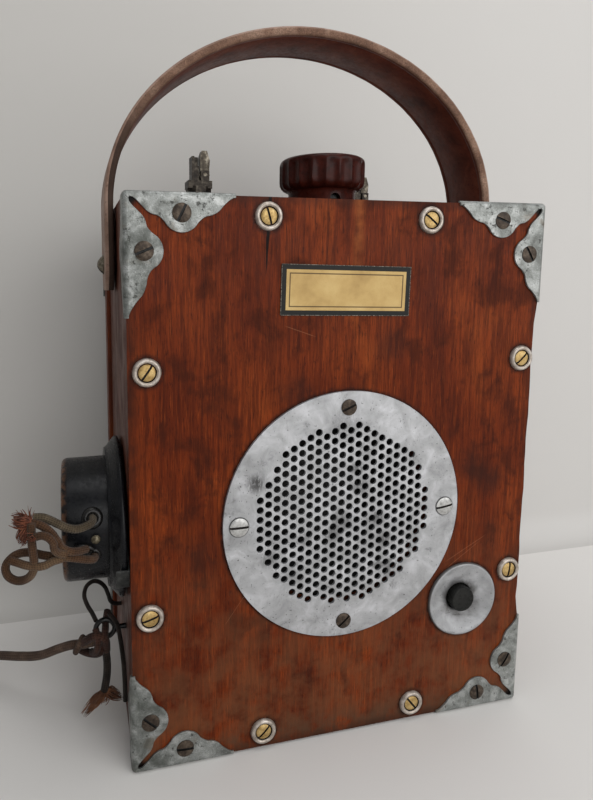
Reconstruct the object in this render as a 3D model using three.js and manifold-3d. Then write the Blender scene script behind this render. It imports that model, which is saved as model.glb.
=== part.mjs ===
// Field telephone in a wooden case with a leather strap.
// Millimetres, +Z up. The front faces -Y and the receiver hangs on the -X side.
// Places are measured from the bottom middle of the wooden case's front face,
// and the last lines move the whole telephone over its own origin.
import * as THREE from 'three';
import { mergeVertices } from 'three/addons/utils/BufferGeometryUtils.js';
import { RoundedBoxGeometry } from 'three/addons/geometries/RoundedBoxGeometry.js';
import Module from 'manifold-3d';

const wasm = await Module();
wasm.setup();

// Gap left where one piece is let into another
const clearance = 0.3;

// Case
const caseWidth = 228.6;
const caseHeight = 292.1;
const caseDepth = 140;
const boardThickness = 15.9;
const frontThickness = 9.5;
const coverThickness = 19;
const coverWall = 9.5;
const coverLip = 2.6;

// Front panel screws with their cup washers
const panelScrewInset = 9.3;
const panelScrewSpacing = 89.2;
const panelScrewHighZ = 208;
const panelScrewLowZ = 83;
const panelScrewRadius = 2;
const panelScrewGrip = 12;
const panelScrewHeadRadius = 4.35;
const cupWasherRadius = 6.75;
const cupWasherHeight = 2.3;
const screwSlotWidth = 1.1;
const screwSlotDepth = 0.9;

// Corner brackets
const bracketThickness = 1.2;
const leafLength = 53;
const leafShoulder = 9.3;
const leafLobeAlong = 26.8;
const leafLobeRadius = 9.2;
const leafSlit = 3.2;
const bracketEdgeRadius = 2;

// Grille
const grilleX = 0.1;
const grilleZ = 126.5;
const grilleMargin = 46.5;
const grilleThickness = 1.6;
const grilleFieldMargin = 18.4;
const grilleHoleRadius = 2;
const grilleHolePitch = 6.7;
const grilleScrewInset = 8.5;
const grilleScrewRadius = 1.75;
const grilleScrewLength = 7;
const grilleScrewHeadRadius = 4.4;
const grilleScrewHeadHeight = 1.1;

// Nameplate
const plateX = -2.2;
const plateDrop = 45.7;
const plateWidth = 71.4;
const plateHeight = 25.6;
const plateThickness = 0.8;
const plateTilt = THREE.MathUtils.degToRad(1.2);

// Push button
const buttonInset = 39.5;
const buttonZ = 68.8;
const buttonRadius = 7.5;
const buttonFace = 1;
const buttonTravel = 3;
const buttonCollarRadius = 9.2;
const buttonCollarThickness = 2.3;
const buttonStemRadius = 3;
const bezelRadius = 21.7;
const bezelHeight = 1.6;
const bezelDish = 4.4;
const bezelWellRadius = 17.5;
const bezelSheet = 1;
const contactWidth = 12;
const contactThickness = 0.8;
const contactLength = 44;

// Selector knob, shaft and switch
const knobX = 11.8;
const knobY = 66;
const knobRadius = 25.9;
const knobCapHeight = 19.4;
const knobCollarRadius = 20.2;
const knobCollarHeight = 12.2;
const knobFlutes = 20;
const knobFluteDepth = 1.3;
const knobRounding = 2.4;
const setScrewRadius = 3;
const setScrewAzimuth = THREE.MathUtils.degToRad(-90);
const shaftRadius = 3.15;
const shaftClearance = 0.1;
const switchRadius = 24;
const switchHeight = 14;

// Line posts
const postWidth = 13.6;
const postFootHeight = 8.2;
const postBlockDepth = 9.6;
const postBlockHeight = 2.9;
const postJawHeight = 23.5;
const postLeverHeight = 26.6;
const postJawThickness = 3.8;
const postLeverThickness = 4.6;
const postWireGap = 0.8;
const postTongueDepth = 6;
const postPinRadius = 1.1;
const postPivotHeight = 14.2;
const leftPostInset = 42;
const leftPostY = 34;
const rightPostInset = 64.3;
const rightPostY = 92;

// Carry strap
const strapWidth = 38.1;
const strapThickness = 5;
const strapRise = 102.3;
const strapDrop = 46.5;
const strapStandOff = 1.6;
const strapPivotDrop = 32;
const strapScrewShoulder = 4;
const strapScrewShank = 2.4;
const strapScrewGrip = 12;
const strapScrewHeadRadius = 5.4;
const strapScrewHeadHeight = 3.2;
const strapWasherRadius = 8;
const strapTipCut = 9;

// Receiver on the left side
const receiverY = 45;
const receiverZ = 120.4;
const earCapRadius = 43.5;
const earCapRim = 2.6;
const earCapDepth = 8.2;
const earCapMouth = 37.5;
const earHoleRadius = 8;
const receiverCaseRadius = 32.9;
const receiverCaseDepth = 23.5;
const receiverWall = 4.2;
const receiverBack = 3;
const diaphragmThickness = 0.6;
const magnetRadius = 14;
const cordHoleRadius = 2.6;
const upperCordZ = 132.2;
const lowerCordZ = 113;
const upperCordOut = 17.6;
const lowerCordOut = 17.1;
const terminalOut = 16.2;
const terminalZ = 122.4;
const terminalShankRadius = 1.3;
const terminalBallRadius = 2.4;

// Spring clip that holds the receiver
const clipPlateRadius = 22;
const clipThickness = 1;
const clipArmWidth = 12;
const clipFingerLength = 7;
// Directions of its arms in degrees from straight up towards the back
const clipArmAngles = [-113, 140, 90];

// Screw eye for the line cord
const eyeOut = 11.7;
const eyeY = 36;
const eyeZ = 58;
const eyeRadius = 5.2;
const eyeWire = 1.4;
const eyeGrip = 9;

// Cords
const lineCordDiameter = 5;
const receiverCordDiameter = 4;
const tailDiameter = 4.4;
const leadDiameter = 2.5;
const leadHoleY = 72;
const leadHoleZ = 50.5;
const leadHoleDepth = 4;

// Coil of the line cord on the floor, in two layers
const coilX = -244;
const coilY = 71;
const coilOuterRadius = 39;
const coilPitch = 6.2;
const coilTurnsPerLayer = 3.875;
const coilEndStraight = 22;
const coilStepsPerTurn = 23;

// Line plug
const plugRadius = lineCordDiameter / 2 + coilPitch;
const plugLength = 27;
const plugPinRadius = 2;
const plugPinLength = 14;

// Pieces inside
const unitFlangeRadius = 60;
const unitRadius = 52;
const unitWall = 2;
const unitDepth = 32;
const unitMagnetRadius = 24;
const unitMagnetDepth = 18;
const batteryWidth = 66;
const batteryDepth = 62;
const batteryHeight = 96;
const inductionLength = 70;
const inductionRadius = 13;
const inductionCheek = 17;
const inductionCheekThickness = 5;
const inductionX = 50;
const inductionSetBack = 30;

const left = -caseWidth / 2;
const right = caseWidth / 2;
const boardBack = caseDepth - coverThickness;
const floorZ = -bracketThickness;
const grilleRadius = right - grilleMargin;
const grilleFieldRadius = grilleRadius - grilleFieldMargin;
const grilleScrewCircle = grilleRadius - grilleScrewInset;
const buttonX = right - buttonInset;
const leftPostX = left + leftPostInset;
const rightPostX = right - rightPostInset;
const upperCordX = left - upperCordOut;
const lowerCordX = left - lowerCordOut;
const terminalX = left - terminalOut;
const eyeX = left - eyeOut;

// Colours of the finishes
const finishes = {
  wood: { color: 0x7a3216, roughness: 0.45, metalness: 0 },
  zinc: { color: 0xb4b8b8, roughness: 0.5, metalness: 0.8 },
  brass: { color: 0xb08a3e, roughness: 0.4, metalness: 1 },
  aluminium: { color: 0xb9bcc0, roughness: 0.42, metalness: 0.9 },
  steel: { color: 0x8b8a84, roughness: 0.45, metalness: 0.9 },
  bronzedSteel: { color: 0x5d4d3c, roughness: 0.5, metalness: 0.8 },
  iron: { color: 0x202021, roughness: 0.5, metalness: 0.7 },
  bakelite: { color: 0x17181b, roughness: 0.4, metalness: 0 },
  brownBakelite: { color: 0x35140e, roughness: 0.3, metalness: 0 },
  leather: { color: 0x5d2f1f, roughness: 0.55, metalness: 0 },
  braid: { color: 0x6a5747, roughness: 0.9, metalness: 0 },
  card: { color: 0x6d6250, roughness: 0.8, metalness: 0 },
};

const telephone = new THREE.Group();

// Turns a closed three.js geometry into a manifold solid
function solid(geometry) {
  const bare = geometry.clone();
  bare.deleteAttribute('normal');
  bare.deleteAttribute('uv');
  const merged = mergeVertices(bare, 1e-4);
  const vertProperties = new Float32Array(merged.attributes.position.array);
  const triVerts = new Uint32Array(merged.index.array);
  return new wasm.Manifold(new wasm.Mesh({ numProp: 3, vertProperties, triVerts }));
}

// Turns a manifold solid back into a three.js geometry
function geometryOf(body) {
  const mesh = body.getMesh();
  const geometry = new THREE.BufferGeometry();
  geometry.setAttribute('position', new THREE.BufferAttribute(new Float32Array(mesh.vertProperties), 3));
  geometry.setIndex(new THREE.BufferAttribute(new Uint32Array(mesh.triVerts), 1));
  return geometry;
}

function join(first, ...others) {
  return geometryOf(others.reduce((body, next) => body.add(solid(next)), solid(first)));
}

function cut(first, ...others) {
  return geometryOf(others.reduce((body, next) => body.subtract(solid(next)), solid(first)));
}

function addPiece(name, geometry, finish) {
  const shaded = geometry.index ? geometry.toNonIndexed() : geometry;
  shaded.computeVertexNormals();
  const mesh = new THREE.Mesh(shaded, new THREE.MeshStandardMaterial(finishes[finish]));
  mesh.name = name;
  telephone.add(mesh);
  return mesh;
}

// A box between two opposite corners
function box(x0, x1, y0, y1, z0, z1) {
  const geometry = new THREE.BoxGeometry(x1 - x0, y1 - y0, z1 - z0);
  return geometry.translate((x0 + x1) / 2, (y0 + y1) / 2, (z0 + z1) / 2);
}

// A closed lathe profile of [radius, height] points turned about +Z
function turned(profile, sides) {
  const points = profile.map(([r, z]) => new THREE.Vector2(r, z));
  return new THREE.LatheGeometry(points, sides).rotateX(Math.PI / 2);
}

// Points +Z along +Y, from the front panel into the case
function intoCase(geometry) {
  return geometry.rotateX(-Math.PI / 2);
}

// Points +Z along -X, out of the left side
function outOfLeft(geometry) {
  return geometry.rotateY(-Math.PI / 2);
}

// A round rod along an axis, from one height to another
function rod(radius, from, to, sides = 12) {
  return turned([[0, from], [radius, from], [radius, to], [0, to]], sides);
}

// Reverses the winding of a geometry that was mirrored
function mirrored(geometry, sx, sy, sz) {
  const flat = geometry.index ? geometry.toNonIndexed() : geometry.clone();
  flat.scale(sx, sy, sz);
  if (sx * sy * sz > 0) return flat;
  const position = flat.attributes.position;
  const a = new THREE.Vector3();
  const b = new THREE.Vector3();
  for (let i = 0; i < position.count; i += 3) {
    a.fromBufferAttribute(position, i + 1);
    b.fromBufferAttribute(position, i + 2);
    position.setXYZ(i + 1, b.x, b.y, b.z);
    position.setXYZ(i + 2, a.x, a.y, a.z);
  }
  return flat;
}

// Places of the eight front panel screws, with the angle of each slot
const panelScrews = [
  ['top_left', -panelScrewSpacing / 2, caseHeight - panelScrewInset, 0.35],
  ['top_right', panelScrewSpacing / 2, caseHeight - panelScrewInset, 0.1],
  ['right_high', right - panelScrewInset, panelScrewHighZ, -0.3],
  ['right_low', right - panelScrewInset, panelScrewLowZ, 1.2],
  ['bottom_right', panelScrewSpacing / 2, panelScrewInset, -0.6],
  ['bottom_left', -panelScrewSpacing / 2, panelScrewInset, 0.2],
  ['left_low', left + panelScrewInset, panelScrewLowZ, 0.8],
  ['left_high', left + panelScrewInset, panelScrewHighZ, -0.9],
];

// Places of the four grille screws, with the angle of each slot
const grilleScrews = [
  ['top', 0, grilleScrewCircle, 0.4],
  ['right', grilleScrewCircle, 0, 0.15],
  ['bottom', 0, -grilleScrewCircle, 0.7],
  ['left', -grilleScrewCircle, 0, 0],
];

function panelScrewHoles() {
  return panelScrews.map(([, x, z]) => {
    const hole = rod(panelScrewRadius + clearance, -1, frontThickness + panelScrewGrip + 1, 8);
    return intoCase(hole).translate(x, 0, z);
  });
}

function buildCase() {
  const holes = panelScrewHoles();
  const grilleOpening = intoCase(rod(grilleFieldRadius + 2.6, -1, frontThickness + 1, 28));
  grilleOpening.translate(grilleX, 0, grilleZ);
  const buttonHole = intoCase(rod(bezelWellRadius, -1, frontThickness + 1, 24));
  buttonHole.translate(buttonX, 0, buttonZ);
  const grilleScrewHoles = grilleScrews.map(([, x, z]) => {
    const hole = intoCase(rod(grilleScrewRadius + clearance, -1, frontThickness + 1, 8));
    return hole.translate(grilleX + x, 0, grilleZ + z);
  });
  const panel = box(left, right, 0, frontThickness, 0, caseHeight);
  addPiece('front_panel', cut(panel, grilleOpening, buttonHole, ...grilleScrewHoles, ...holes), 'wood');

  const pivotHole = rod(strapScrewShank + clearance, -strapScrewGrip - 1, 1);
  const leftPivot = outOfLeft(pivotHole.clone()).translate(left, caseDepth / 2, caseHeight - strapPivotDrop);
  const rightPivot = mirrored(leftPivot, -1, 1, 1);
  const eyeHole = outOfLeft(rod(eyeWire + clearance, -eyeGrip - 1, 1)).translate(left, eyeY, eyeZ);
  const leadHole = outOfLeft(rod(leadDiameter / 2 + clearance, -leadHoleDepth, 1, 8));
  leadHole.translate(left, leadHoleY, leadHoleZ);
  const sideBoard = box(left, left + boardThickness, frontThickness, boardBack, 0, caseHeight);
  const [, , rightHigh, rightLow, , , leftLow, leftHigh] = holes;
  addPiece('left_board', cut(sideBoard, leftPivot, eyeHole, leadHole, leftLow, leftHigh), 'wood');
  addPiece('right_board', cut(mirrored(sideBoard, -1, 1, 1), rightPivot, rightHigh, rightLow), 'wood');

  const inner = right - boardThickness;
  const topBoard = box(-inner, inner, frontThickness, boardBack, caseHeight - boardThickness, caseHeight);
  const shaftHole = rod(shaftRadius + clearance, caseHeight - boardThickness - 1, caseHeight + 1);
  shaftHole.translate(knobX, knobY, 0);
  addPiece('top_board', cut(topBoard, shaftHole, holes[0], holes[1]), 'wood');
  const bottomBoard = box(-inner, inner, frontThickness, boardBack, 0, boardThickness);
  addPiece('bottom_board', cut(bottomBoard, holes[4], holes[5]), 'wood');

  const cover = box(left - coverLip, right + coverLip, boardBack, caseDepth, 0, caseHeight);
  const hollowTop = caseHeight - boardThickness;
  const hollow = box(-inner, inner, boardBack - 1, caseDepth - coverWall, boardThickness, hollowTop);
  addPiece('back_cover', cut(cover, hollow), 'wood');
}

// Outline of one scalloped leaf, from its tip back to the corner end: [along, across]
function leafOutline() {
  const points = [[leafLength, 0], [leafLength - 2.5, 2.2], [leafLength - 5, leafShoulder * 0.72]];
  points.push([leafLength - 9, leafShoulder]);
  points.push([leafLobeAlong + leafLobeRadius + 1.4, leafShoulder + 0.8]);
  for (let step = 0; step <= 3; step += 1) {
    const angle = THREE.MathUtils.degToRad(22 + step * 45);
    const along = leafLobeAlong + leafLobeRadius * Math.cos(angle);
    points.push([along, leafShoulder - 1 + leafLobeRadius * Math.sin(angle)]);
  }
  points.push([leafLobeAlong - leafLobeRadius - 1.4, leafShoulder + 0.8]);
  points.push([leafShoulder + 2.3, leafShoulder]);
  return points;
}

// A flat plate in the XY plane, from its outline, rising along +Z
function plate(points, thickness) {
  const shape = new THREE.Shape(points.map(([x, y]) => new THREE.Vector2(x, y)));
  return new THREE.ExtrudeGeometry(shape, { depth: thickness, bevelEnabled: false });
}

// A bracket for a corner at the origin, of a box that lies towards +X, +Y and -Z
function cornerBracket() {
  const t = bracketThickness;
  const leaf = leafOutline();
  const slit = [[leafShoulder - 0.7, leafShoulder - 2.9], [leafSlit + 2, leafSlit], [leafSlit, leafSlit]];
  const side = [...leaf, ...slit];
  const otherSide = side.slice(0, -1).map(([along, across]) => [across, along]).reverse();
  const front = plate([[-t, -t], [leafLength, -t], ...side, ...otherSide, [-t, leafLength]], t);
  const flange = [[-t, -t], [leafLength, -t], ...leaf, [-t, leafShoulder]];
  const topFlange = plate(flange, t);
  const sideFlange = plate(flange, t).rotateY(Math.PI / 2).translate(-t, 0, 0);
  front.rotateX(-Math.PI / 2).translate(0, -t, 0);
  const body = solid(front).add(solid(topFlange)).add(solid(sideFlange));
  const size = 2 * (leafLength + bracketEdgeRadius);
  const rounding = new RoundedBoxGeometry(size, size, size, 1, bracketEdgeRadius);
  rounding.translate(size / 2 - t, size / 2 - t, t - size / 2);
  return geometryOf(body.intersect(solid(rounding)));
}

function buildBrackets() {
  const bracket = cornerBracket();
  for (const [depthName, sy, y, lip] of [['front', 1, 0, 0], ['back', -1, caseDepth, coverLip]]) {
    for (const [heightName, sz, z] of [['top', 1, caseHeight], ['bottom', -1, 0]]) {
      for (const [sideName, sx] of [['left', 1], ['right', -1]]) {
        const corner = mirrored(bracket, sx, sy, sz).translate(sx * (left - lip), y, z);
        addPiece(`bracket_${depthName}_${heightName}_${sideName}`, corner, 'zinc');
      }
    }
  }
}

// A straight screwdriver slot across a screw head that faces -Y, at the origin
function screwSlot(faceY, radius, angle) {
  const half = screwSlotWidth / 2;
  const slot = box(-radius - 1, radius + 1, faceY - 1, faceY + screwSlotDepth, -half, half);
  return slot.rotateY(angle);
}

function buildPanelScrews() {
  const headTop = cupWasherHeight - 0.4;
  const profile = [
    [0, -headTop - 0.4],
    [panelScrewHeadRadius, -headTop],
    [panelScrewHeadRadius + 0.2, -0.9],
    [cupWasherRadius - 1.4, -cupWasherHeight],
    [cupWasherRadius, 0],
    [panelScrewRadius, 0],
    [panelScrewRadius, frontThickness + panelScrewGrip],
    [0, frontThickness + panelScrewGrip],
  ];
  for (const [name, x, z, angle] of panelScrews) {
    const screw = intoCase(turned(profile, 10));
    const slotted = cut(screw, screwSlot(-headTop - 0.4, panelScrewHeadRadius - 0.9, angle));
    addPiece(`panel_screw_${name}`, slotted.translate(x, 0, z), 'brass');
  }
}

// Round holes in columns, every second column moved by half a pitch
function grilleHoles() {
  const holes = [];
  const columnPitch = grilleHolePitch * Math.sin(Math.PI / 3);
  const reach = grilleFieldRadius - grilleHoleRadius;
  const columns = Math.floor(reach / columnPitch);
  for (let column = -columns; column <= columns; column += 1) {
    const shift = column % 2 === 0 ? 0 : grilleHolePitch / 2;
    const rows = Math.ceil(reach / grilleHolePitch);
    for (let row = -rows; row <= rows; row += 1) {
      const x = column * columnPitch;
      const y = row * grilleHolePitch + shift;
      if (Math.hypot(x, y) > reach) continue;
      holes.push([x, y, grilleHoleRadius, 6]);
    }
  }
  return holes;
}

function buildGrille() {
  const shape = new THREE.Shape();
  const ring = (x, y, radius, sides) => {
    const points = [];
    for (let step = 0; step < sides; step += 1) {
      const angle = (step / sides) * 2 * Math.PI;
      points.push(new THREE.Vector2(x + radius * Math.cos(angle), y + radius * Math.sin(angle)));
    }
    return points;
  };
  shape.setFromPoints(ring(0, 0, grilleRadius, 48));
  const screwHoles = grilleScrews.map(([, x, z]) => [x, -z, grilleScrewRadius + clearance, 8]);
  for (const [x, y, radius, sides] of [...grilleHoles(), ...screwHoles]) {
    shape.holes.push(new THREE.Path(ring(x, y, radius, sides)));
  }
  const disc = new THREE.ExtrudeGeometry(shape, { depth: grilleThickness, bevelEnabled: false });
  disc.rotateX(-Math.PI / 2).translate(grilleX, -grilleThickness, grilleZ);
  addPiece('grille_plate', disc, 'aluminium');

  const face = -grilleThickness - grilleScrewHeadHeight;
  const profile = [
    [0, face],
    [grilleScrewHeadRadius - 0.8, face],
    [grilleScrewHeadRadius, -grilleThickness - 0.4],
    [grilleScrewHeadRadius, -grilleThickness],
    [grilleScrewRadius, -grilleThickness],
    [grilleScrewRadius, grilleScrewLength],
    [0, grilleScrewLength],
  ];
  for (const [name, x, z, angle] of grilleScrews) {
    const screw = cut(intoCase(turned(profile, 10)), screwSlot(face, grilleScrewHeadRadius, angle));
    addPiece(`grille_screw_${name}`, screw.translate(grilleX + x, 0, grilleZ + z), 'steel');
  }
}

function buildNameplate() {
  const width = plateWidth / 2;
  const height = plateHeight / 2;
  const nameplate = box(-width, width, -plateThickness, 0, -height, height);
  addPiece('nameplate', nameplate.rotateY(plateTilt).translate(plateX, 0, caseHeight - plateDrop), 'brass');
}

function buildButton() {
  const bore = buttonRadius + 0.5;
  const wellEdge = bezelWellRadius - clearance;
  const dishBack = bezelDish + bezelSheet;
  const bezel = turned([
    [bore, dishBack],
    [bore, bezelDish],
    [bore + 2, bezelDish - 1.2],
    [bore + 5.5, bezelDish - 3.2],
    [bezelWellRadius, -0.5],
    [bezelRadius - 1.8, -bezelHeight + 0.2],
    [bezelRadius - 0.9, -bezelHeight],
    [bezelRadius, -bezelHeight + 0.8],
    [bezelRadius, 0],
    [wellEdge, 0],
    [wellEdge, 0.7],
    [bore + 5.5, dishBack - 3],
    [bore, dishBack],
  ], 20);
  addPiece('button_bezel', intoCase(bezel).translate(buttonX, 0, buttonZ), 'aluminium');

  const collarFront = dishBack + clearance;
  const collarBack = collarFront + buttonCollarThickness;
  const button = turned([
    [0, -buttonFace],
    [buttonRadius - 1, -buttonFace],
    [buttonRadius, -buttonFace + 0.8],
    [buttonRadius, collarFront],
    [buttonCollarRadius, collarFront],
    [buttonCollarRadius, collarBack],
    [buttonStemRadius, collarBack],
    [buttonStemRadius, frontThickness],
    [0, frontThickness],
  ], 16);
  addPiece('push_button', intoCase(button).translate(buttonX, 0, buttonZ), 'bakelite');

  const leafY = frontThickness + buttonTravel + clearance;
  const half = contactWidth / 2;
  const block = box(-half, half, frontThickness, leafY, -contactLength, -contactLength / 2);
  const leaf = box(-half, half, leafY, leafY + contactThickness, -contactLength, half);
  addPiece('button_contact', join(block, leaf).translate(buttonX, 0, buttonZ), 'brass');
}

// Fluted outline of the knob's cap
function fluteOutline() {
  const points = [];
  for (let flute = 0; flute < knobFlutes; flute += 1) {
    for (const [share, depth] of [[0, knobFluteDepth], [0.3, 0], [0.7, 0]]) {
      const angle = ((flute + share) / knobFlutes) * 2 * Math.PI;
      const radius = knobRadius - depth;
      points.push(new THREE.Vector2(radius * Math.cos(angle), radius * Math.sin(angle)));
    }
  }
  return points;
}

function buildSelector() {
  const collarBottom = caseHeight + clearance;
  const capBottom = collarBottom + knobCollarHeight;
  const capTop = capBottom + knobCapHeight;
  const cap = new THREE.ExtrudeGeometry(new THREE.Shape(fluteOutline()), {
    depth: knobCapHeight - 2 * knobRounding,
    bevelThickness: knobRounding,
    bevelSize: knobRounding,
    bevelOffset: -knobRounding,
    bevelSegments: 2,
  });
  cap.translate(0, 0, capBottom + knobRounding);
  const collar = rod(knobCollarRadius, collarBottom, capBottom + 1, 28);
  const shaftTop = capTop - 6;
  const bore = rod(shaftRadius + shaftClearance, collarBottom - 1, shaftTop + clearance);
  const setScrewZ = collarBottom + knobCollarHeight / 2;
  const radialHole = rod(setScrewRadius + clearance, shaftRadius, knobCollarRadius + 1).rotateY(Math.PI / 2);
  radialHole.rotateZ(setScrewAzimuth).translate(0, 0, setScrewZ);
  const knob = geometryOf(solid(cap).add(solid(collar)).subtract(solid(bore)).subtract(solid(radialHole)));
  addPiece('selector_knob', knob.translate(knobX, knobY, 0), 'brownBakelite');

  const setScrew = rod(setScrewRadius, shaftRadius + clearance, knobCollarRadius - 2).rotateY(Math.PI / 2);
  setScrew.rotateZ(setScrewAzimuth).translate(knobX, knobY, setScrewZ);
  addPiece('knob_set_screw', setScrew, 'iron');

  const switchTop = caseHeight - boardThickness;
  const switchBottom = switchTop - switchHeight;
  const shaft = turned([
    [0, switchBottom - clearance - 3],
    [shaftRadius + 2, switchBottom - clearance - 3],
    [shaftRadius + 2, switchBottom - clearance],
    [shaftRadius, switchBottom - clearance],
    [shaftRadius, shaftTop],
    [0, shaftTop],
  ], 12);
  addPiece('selector_shaft', shaft.translate(knobX, knobY, 0), 'steel');
  const bearing = shaftRadius + shaftClearance;
  const body = turned([
    [bearing, switchBottom],
    [switchRadius - 2, switchBottom],
    [switchRadius, switchBottom + 2],
    [switchRadius, switchTop],
    [bearing, switchTop],
    [bearing, switchBottom],
  ], 16);
  addPiece('selector_switch', body.translate(knobX, knobY, 0), 'bakelite');
}

// One line post at the origin: foot, block with two ears, and a fixed jaw
function postBase() {
  const half = postWidth / 2;
  const depth = postBlockDepth / 2;
  const blockTop = postFootHeight + postBlockHeight;
  const foot = rod(half, 0, postFootHeight, 8).rotateZ(Math.PI / 8);
  const block = box(-half + 0.4, half - 0.4, -depth, depth, postFootHeight - 1, blockTop);
  const jawSide = -postWireGap / 2;
  const jawDepth = depth - 1;
  const jaw = box(jawSide - postJawThickness, jawSide, -jawDepth, jawDepth, blockTop - 1, postJawHeight);
  const notch = box(jawSide - 2.4, 0, -depth, -depth + 4, postJawHeight - 5, postJawHeight + 1);
  const leverX = postWireGap / 2 + postLeverThickness / 2;
  const earTop = postPivotHeight + 2;
  const inner = postTongueDepth / 2 + clearance;
  const frontEar = box(leverX - 2.2, leverX + 2.2, -depth, -inner, blockTop - 1, earTop);
  const backEar = mirrored(frontEar, 1, -1, 1);
  const pinHole = intoCase(rod(postPinRadius + 0.15, -depth - 1, depth + 1, 10));
  pinHole.translate(leverX, 0, postPivotHeight);
  const body = solid(foot).add(solid(block)).add(solid(jaw)).add(solid(frontEar)).add(solid(backEar));
  return geometryOf(body.subtract(solid(notch)).subtract(solid(pinHole)));
}

// The sprung lever of a line post, with its pin
function postLever() {
  const leverX = postWireGap / 2 + postLeverThickness / 2;
  const depth = postTongueDepth / 2;
  const blockTop = postFootHeight + postBlockHeight;
  const foot = intoCase(rod(postPivotHeight - blockTop - clearance, -depth, depth, 12));
  const side = postLeverThickness / 2;
  const arm = plate([
    [-side, 0],
    [side, 0],
    [side + 0.6, postLeverHeight - postPivotHeight - 5],
    [side - 1, postLeverHeight - postPivotHeight],
    [-side + 1, postLeverHeight - postPivotHeight],
    [-side, postLeverHeight - postPivotHeight - 3],
  ], postTongueDepth);
  arm.rotateX(Math.PI / 2).translate(0, depth, 0);
  const pin = intoCase(rod(postPinRadius, -postBlockDepth / 2, postBlockDepth / 2, 10));
  return join(foot, arm, pin).translate(leverX, 0, postPivotHeight);
}

function buildLinePosts() {
  const base = postBase();
  const lever = postLever();
  for (const [name, x, y] of [['left', leftPostX, leftPostY], ['right', rightPostX, rightPostY]]) {
    addPiece(`line_post_${name}`, base.clone().translate(x, y, caseHeight), 'steel');
    addPiece(`line_post_lever_${name}`, lever.clone().translate(x, y, caseHeight), 'steel');
  }
}

function buildStrap() {
  const inner = right + strapStandOff;
  const outer = inner + strapThickness;
  const bottom = caseHeight - strapDrop;
  const shape = new THREE.Shape();
  shape.moveTo(-outer, bottom);
  shape.lineTo(-inner, bottom);
  shape.lineTo(-inner, caseHeight);
  shape.absellipse(0, caseHeight, inner, strapRise - strapThickness, Math.PI, 0, true, 0);
  shape.lineTo(inner, bottom);
  shape.lineTo(outer, bottom);
  shape.lineTo(outer, caseHeight);
  shape.absellipse(0, caseHeight, outer, strapRise, 0, Math.PI, false, 0);
  const band = new THREE.ExtrudeGeometry(shape, {
    depth: strapWidth,
    bevelEnabled: false,
    curveSegments: 22,
  });
  band.rotateX(Math.PI / 2).translate(0, (caseDepth + strapWidth) / 2, 0);
  const pivotZ = caseHeight - strapPivotDrop;
  const across = rod(strapScrewShoulder + clearance, -outer - 1, outer + 1, 16).rotateY(Math.PI / 2);
  across.translate(0, caseDepth / 2, pivotZ);
  const corner = [[-1, -1], [strapTipCut, -1], [-1, strapTipCut]];
  const tip = plate(corner, 2 * outer + 2).translate(0, 0, -outer - 1);
  const frontTip = tip.rotateX(Math.PI / 2).rotateZ(Math.PI / 2);
  frontTip.translate(0, (caseDepth - strapWidth) / 2, bottom);
  const backTip = mirrored(frontTip, 1, -1, 1).translate(0, caseDepth, 0);
  addPiece('carry_strap', cut(band, across, frontTip, backTip), 'leather');

  const washer = strapStandOff - clearance;
  const shoulder = strapStandOff + strapThickness + clearance;
  const profile = [
    [0, -strapScrewGrip],
    [strapScrewShank, -strapScrewGrip],
    [strapScrewShank, 0],
    [strapWasherRadius, 0],
    [strapWasherRadius, washer],
    [strapScrewShoulder, washer],
    [strapScrewShoulder, shoulder],
    [strapScrewHeadRadius, shoulder],
    [strapScrewHeadRadius - 0.6, shoulder + strapScrewHeadHeight * 0.6],
    [strapScrewHeadRadius - 2.6, shoulder + strapScrewHeadHeight],
    [0, shoulder + strapScrewHeadHeight],
  ];
  const top = shoulder + strapScrewHeadHeight;
  const half = screwSlotWidth / 2;
  const slot = box(-7, 7, -half, half, top - screwSlotDepth, top + 1).rotateZ(0.5);
  const screw = outOfLeft(cut(turned(profile, 12), slot)).translate(left, caseDepth / 2, pivotZ);
  addPiece('strap_screw_left', screw, 'bronzedSteel');
  addPiece('strap_screw_right', mirrored(screw, -1, 1, 1), 'bronzedSteel');
}

// Height of the receiver's ear face above the left side
const earFace = clipThickness + clearance;

function placeReceiver(geometry) {
  return outOfLeft(geometry).translate(left - earFace, receiverY, receiverZ);
}

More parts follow.
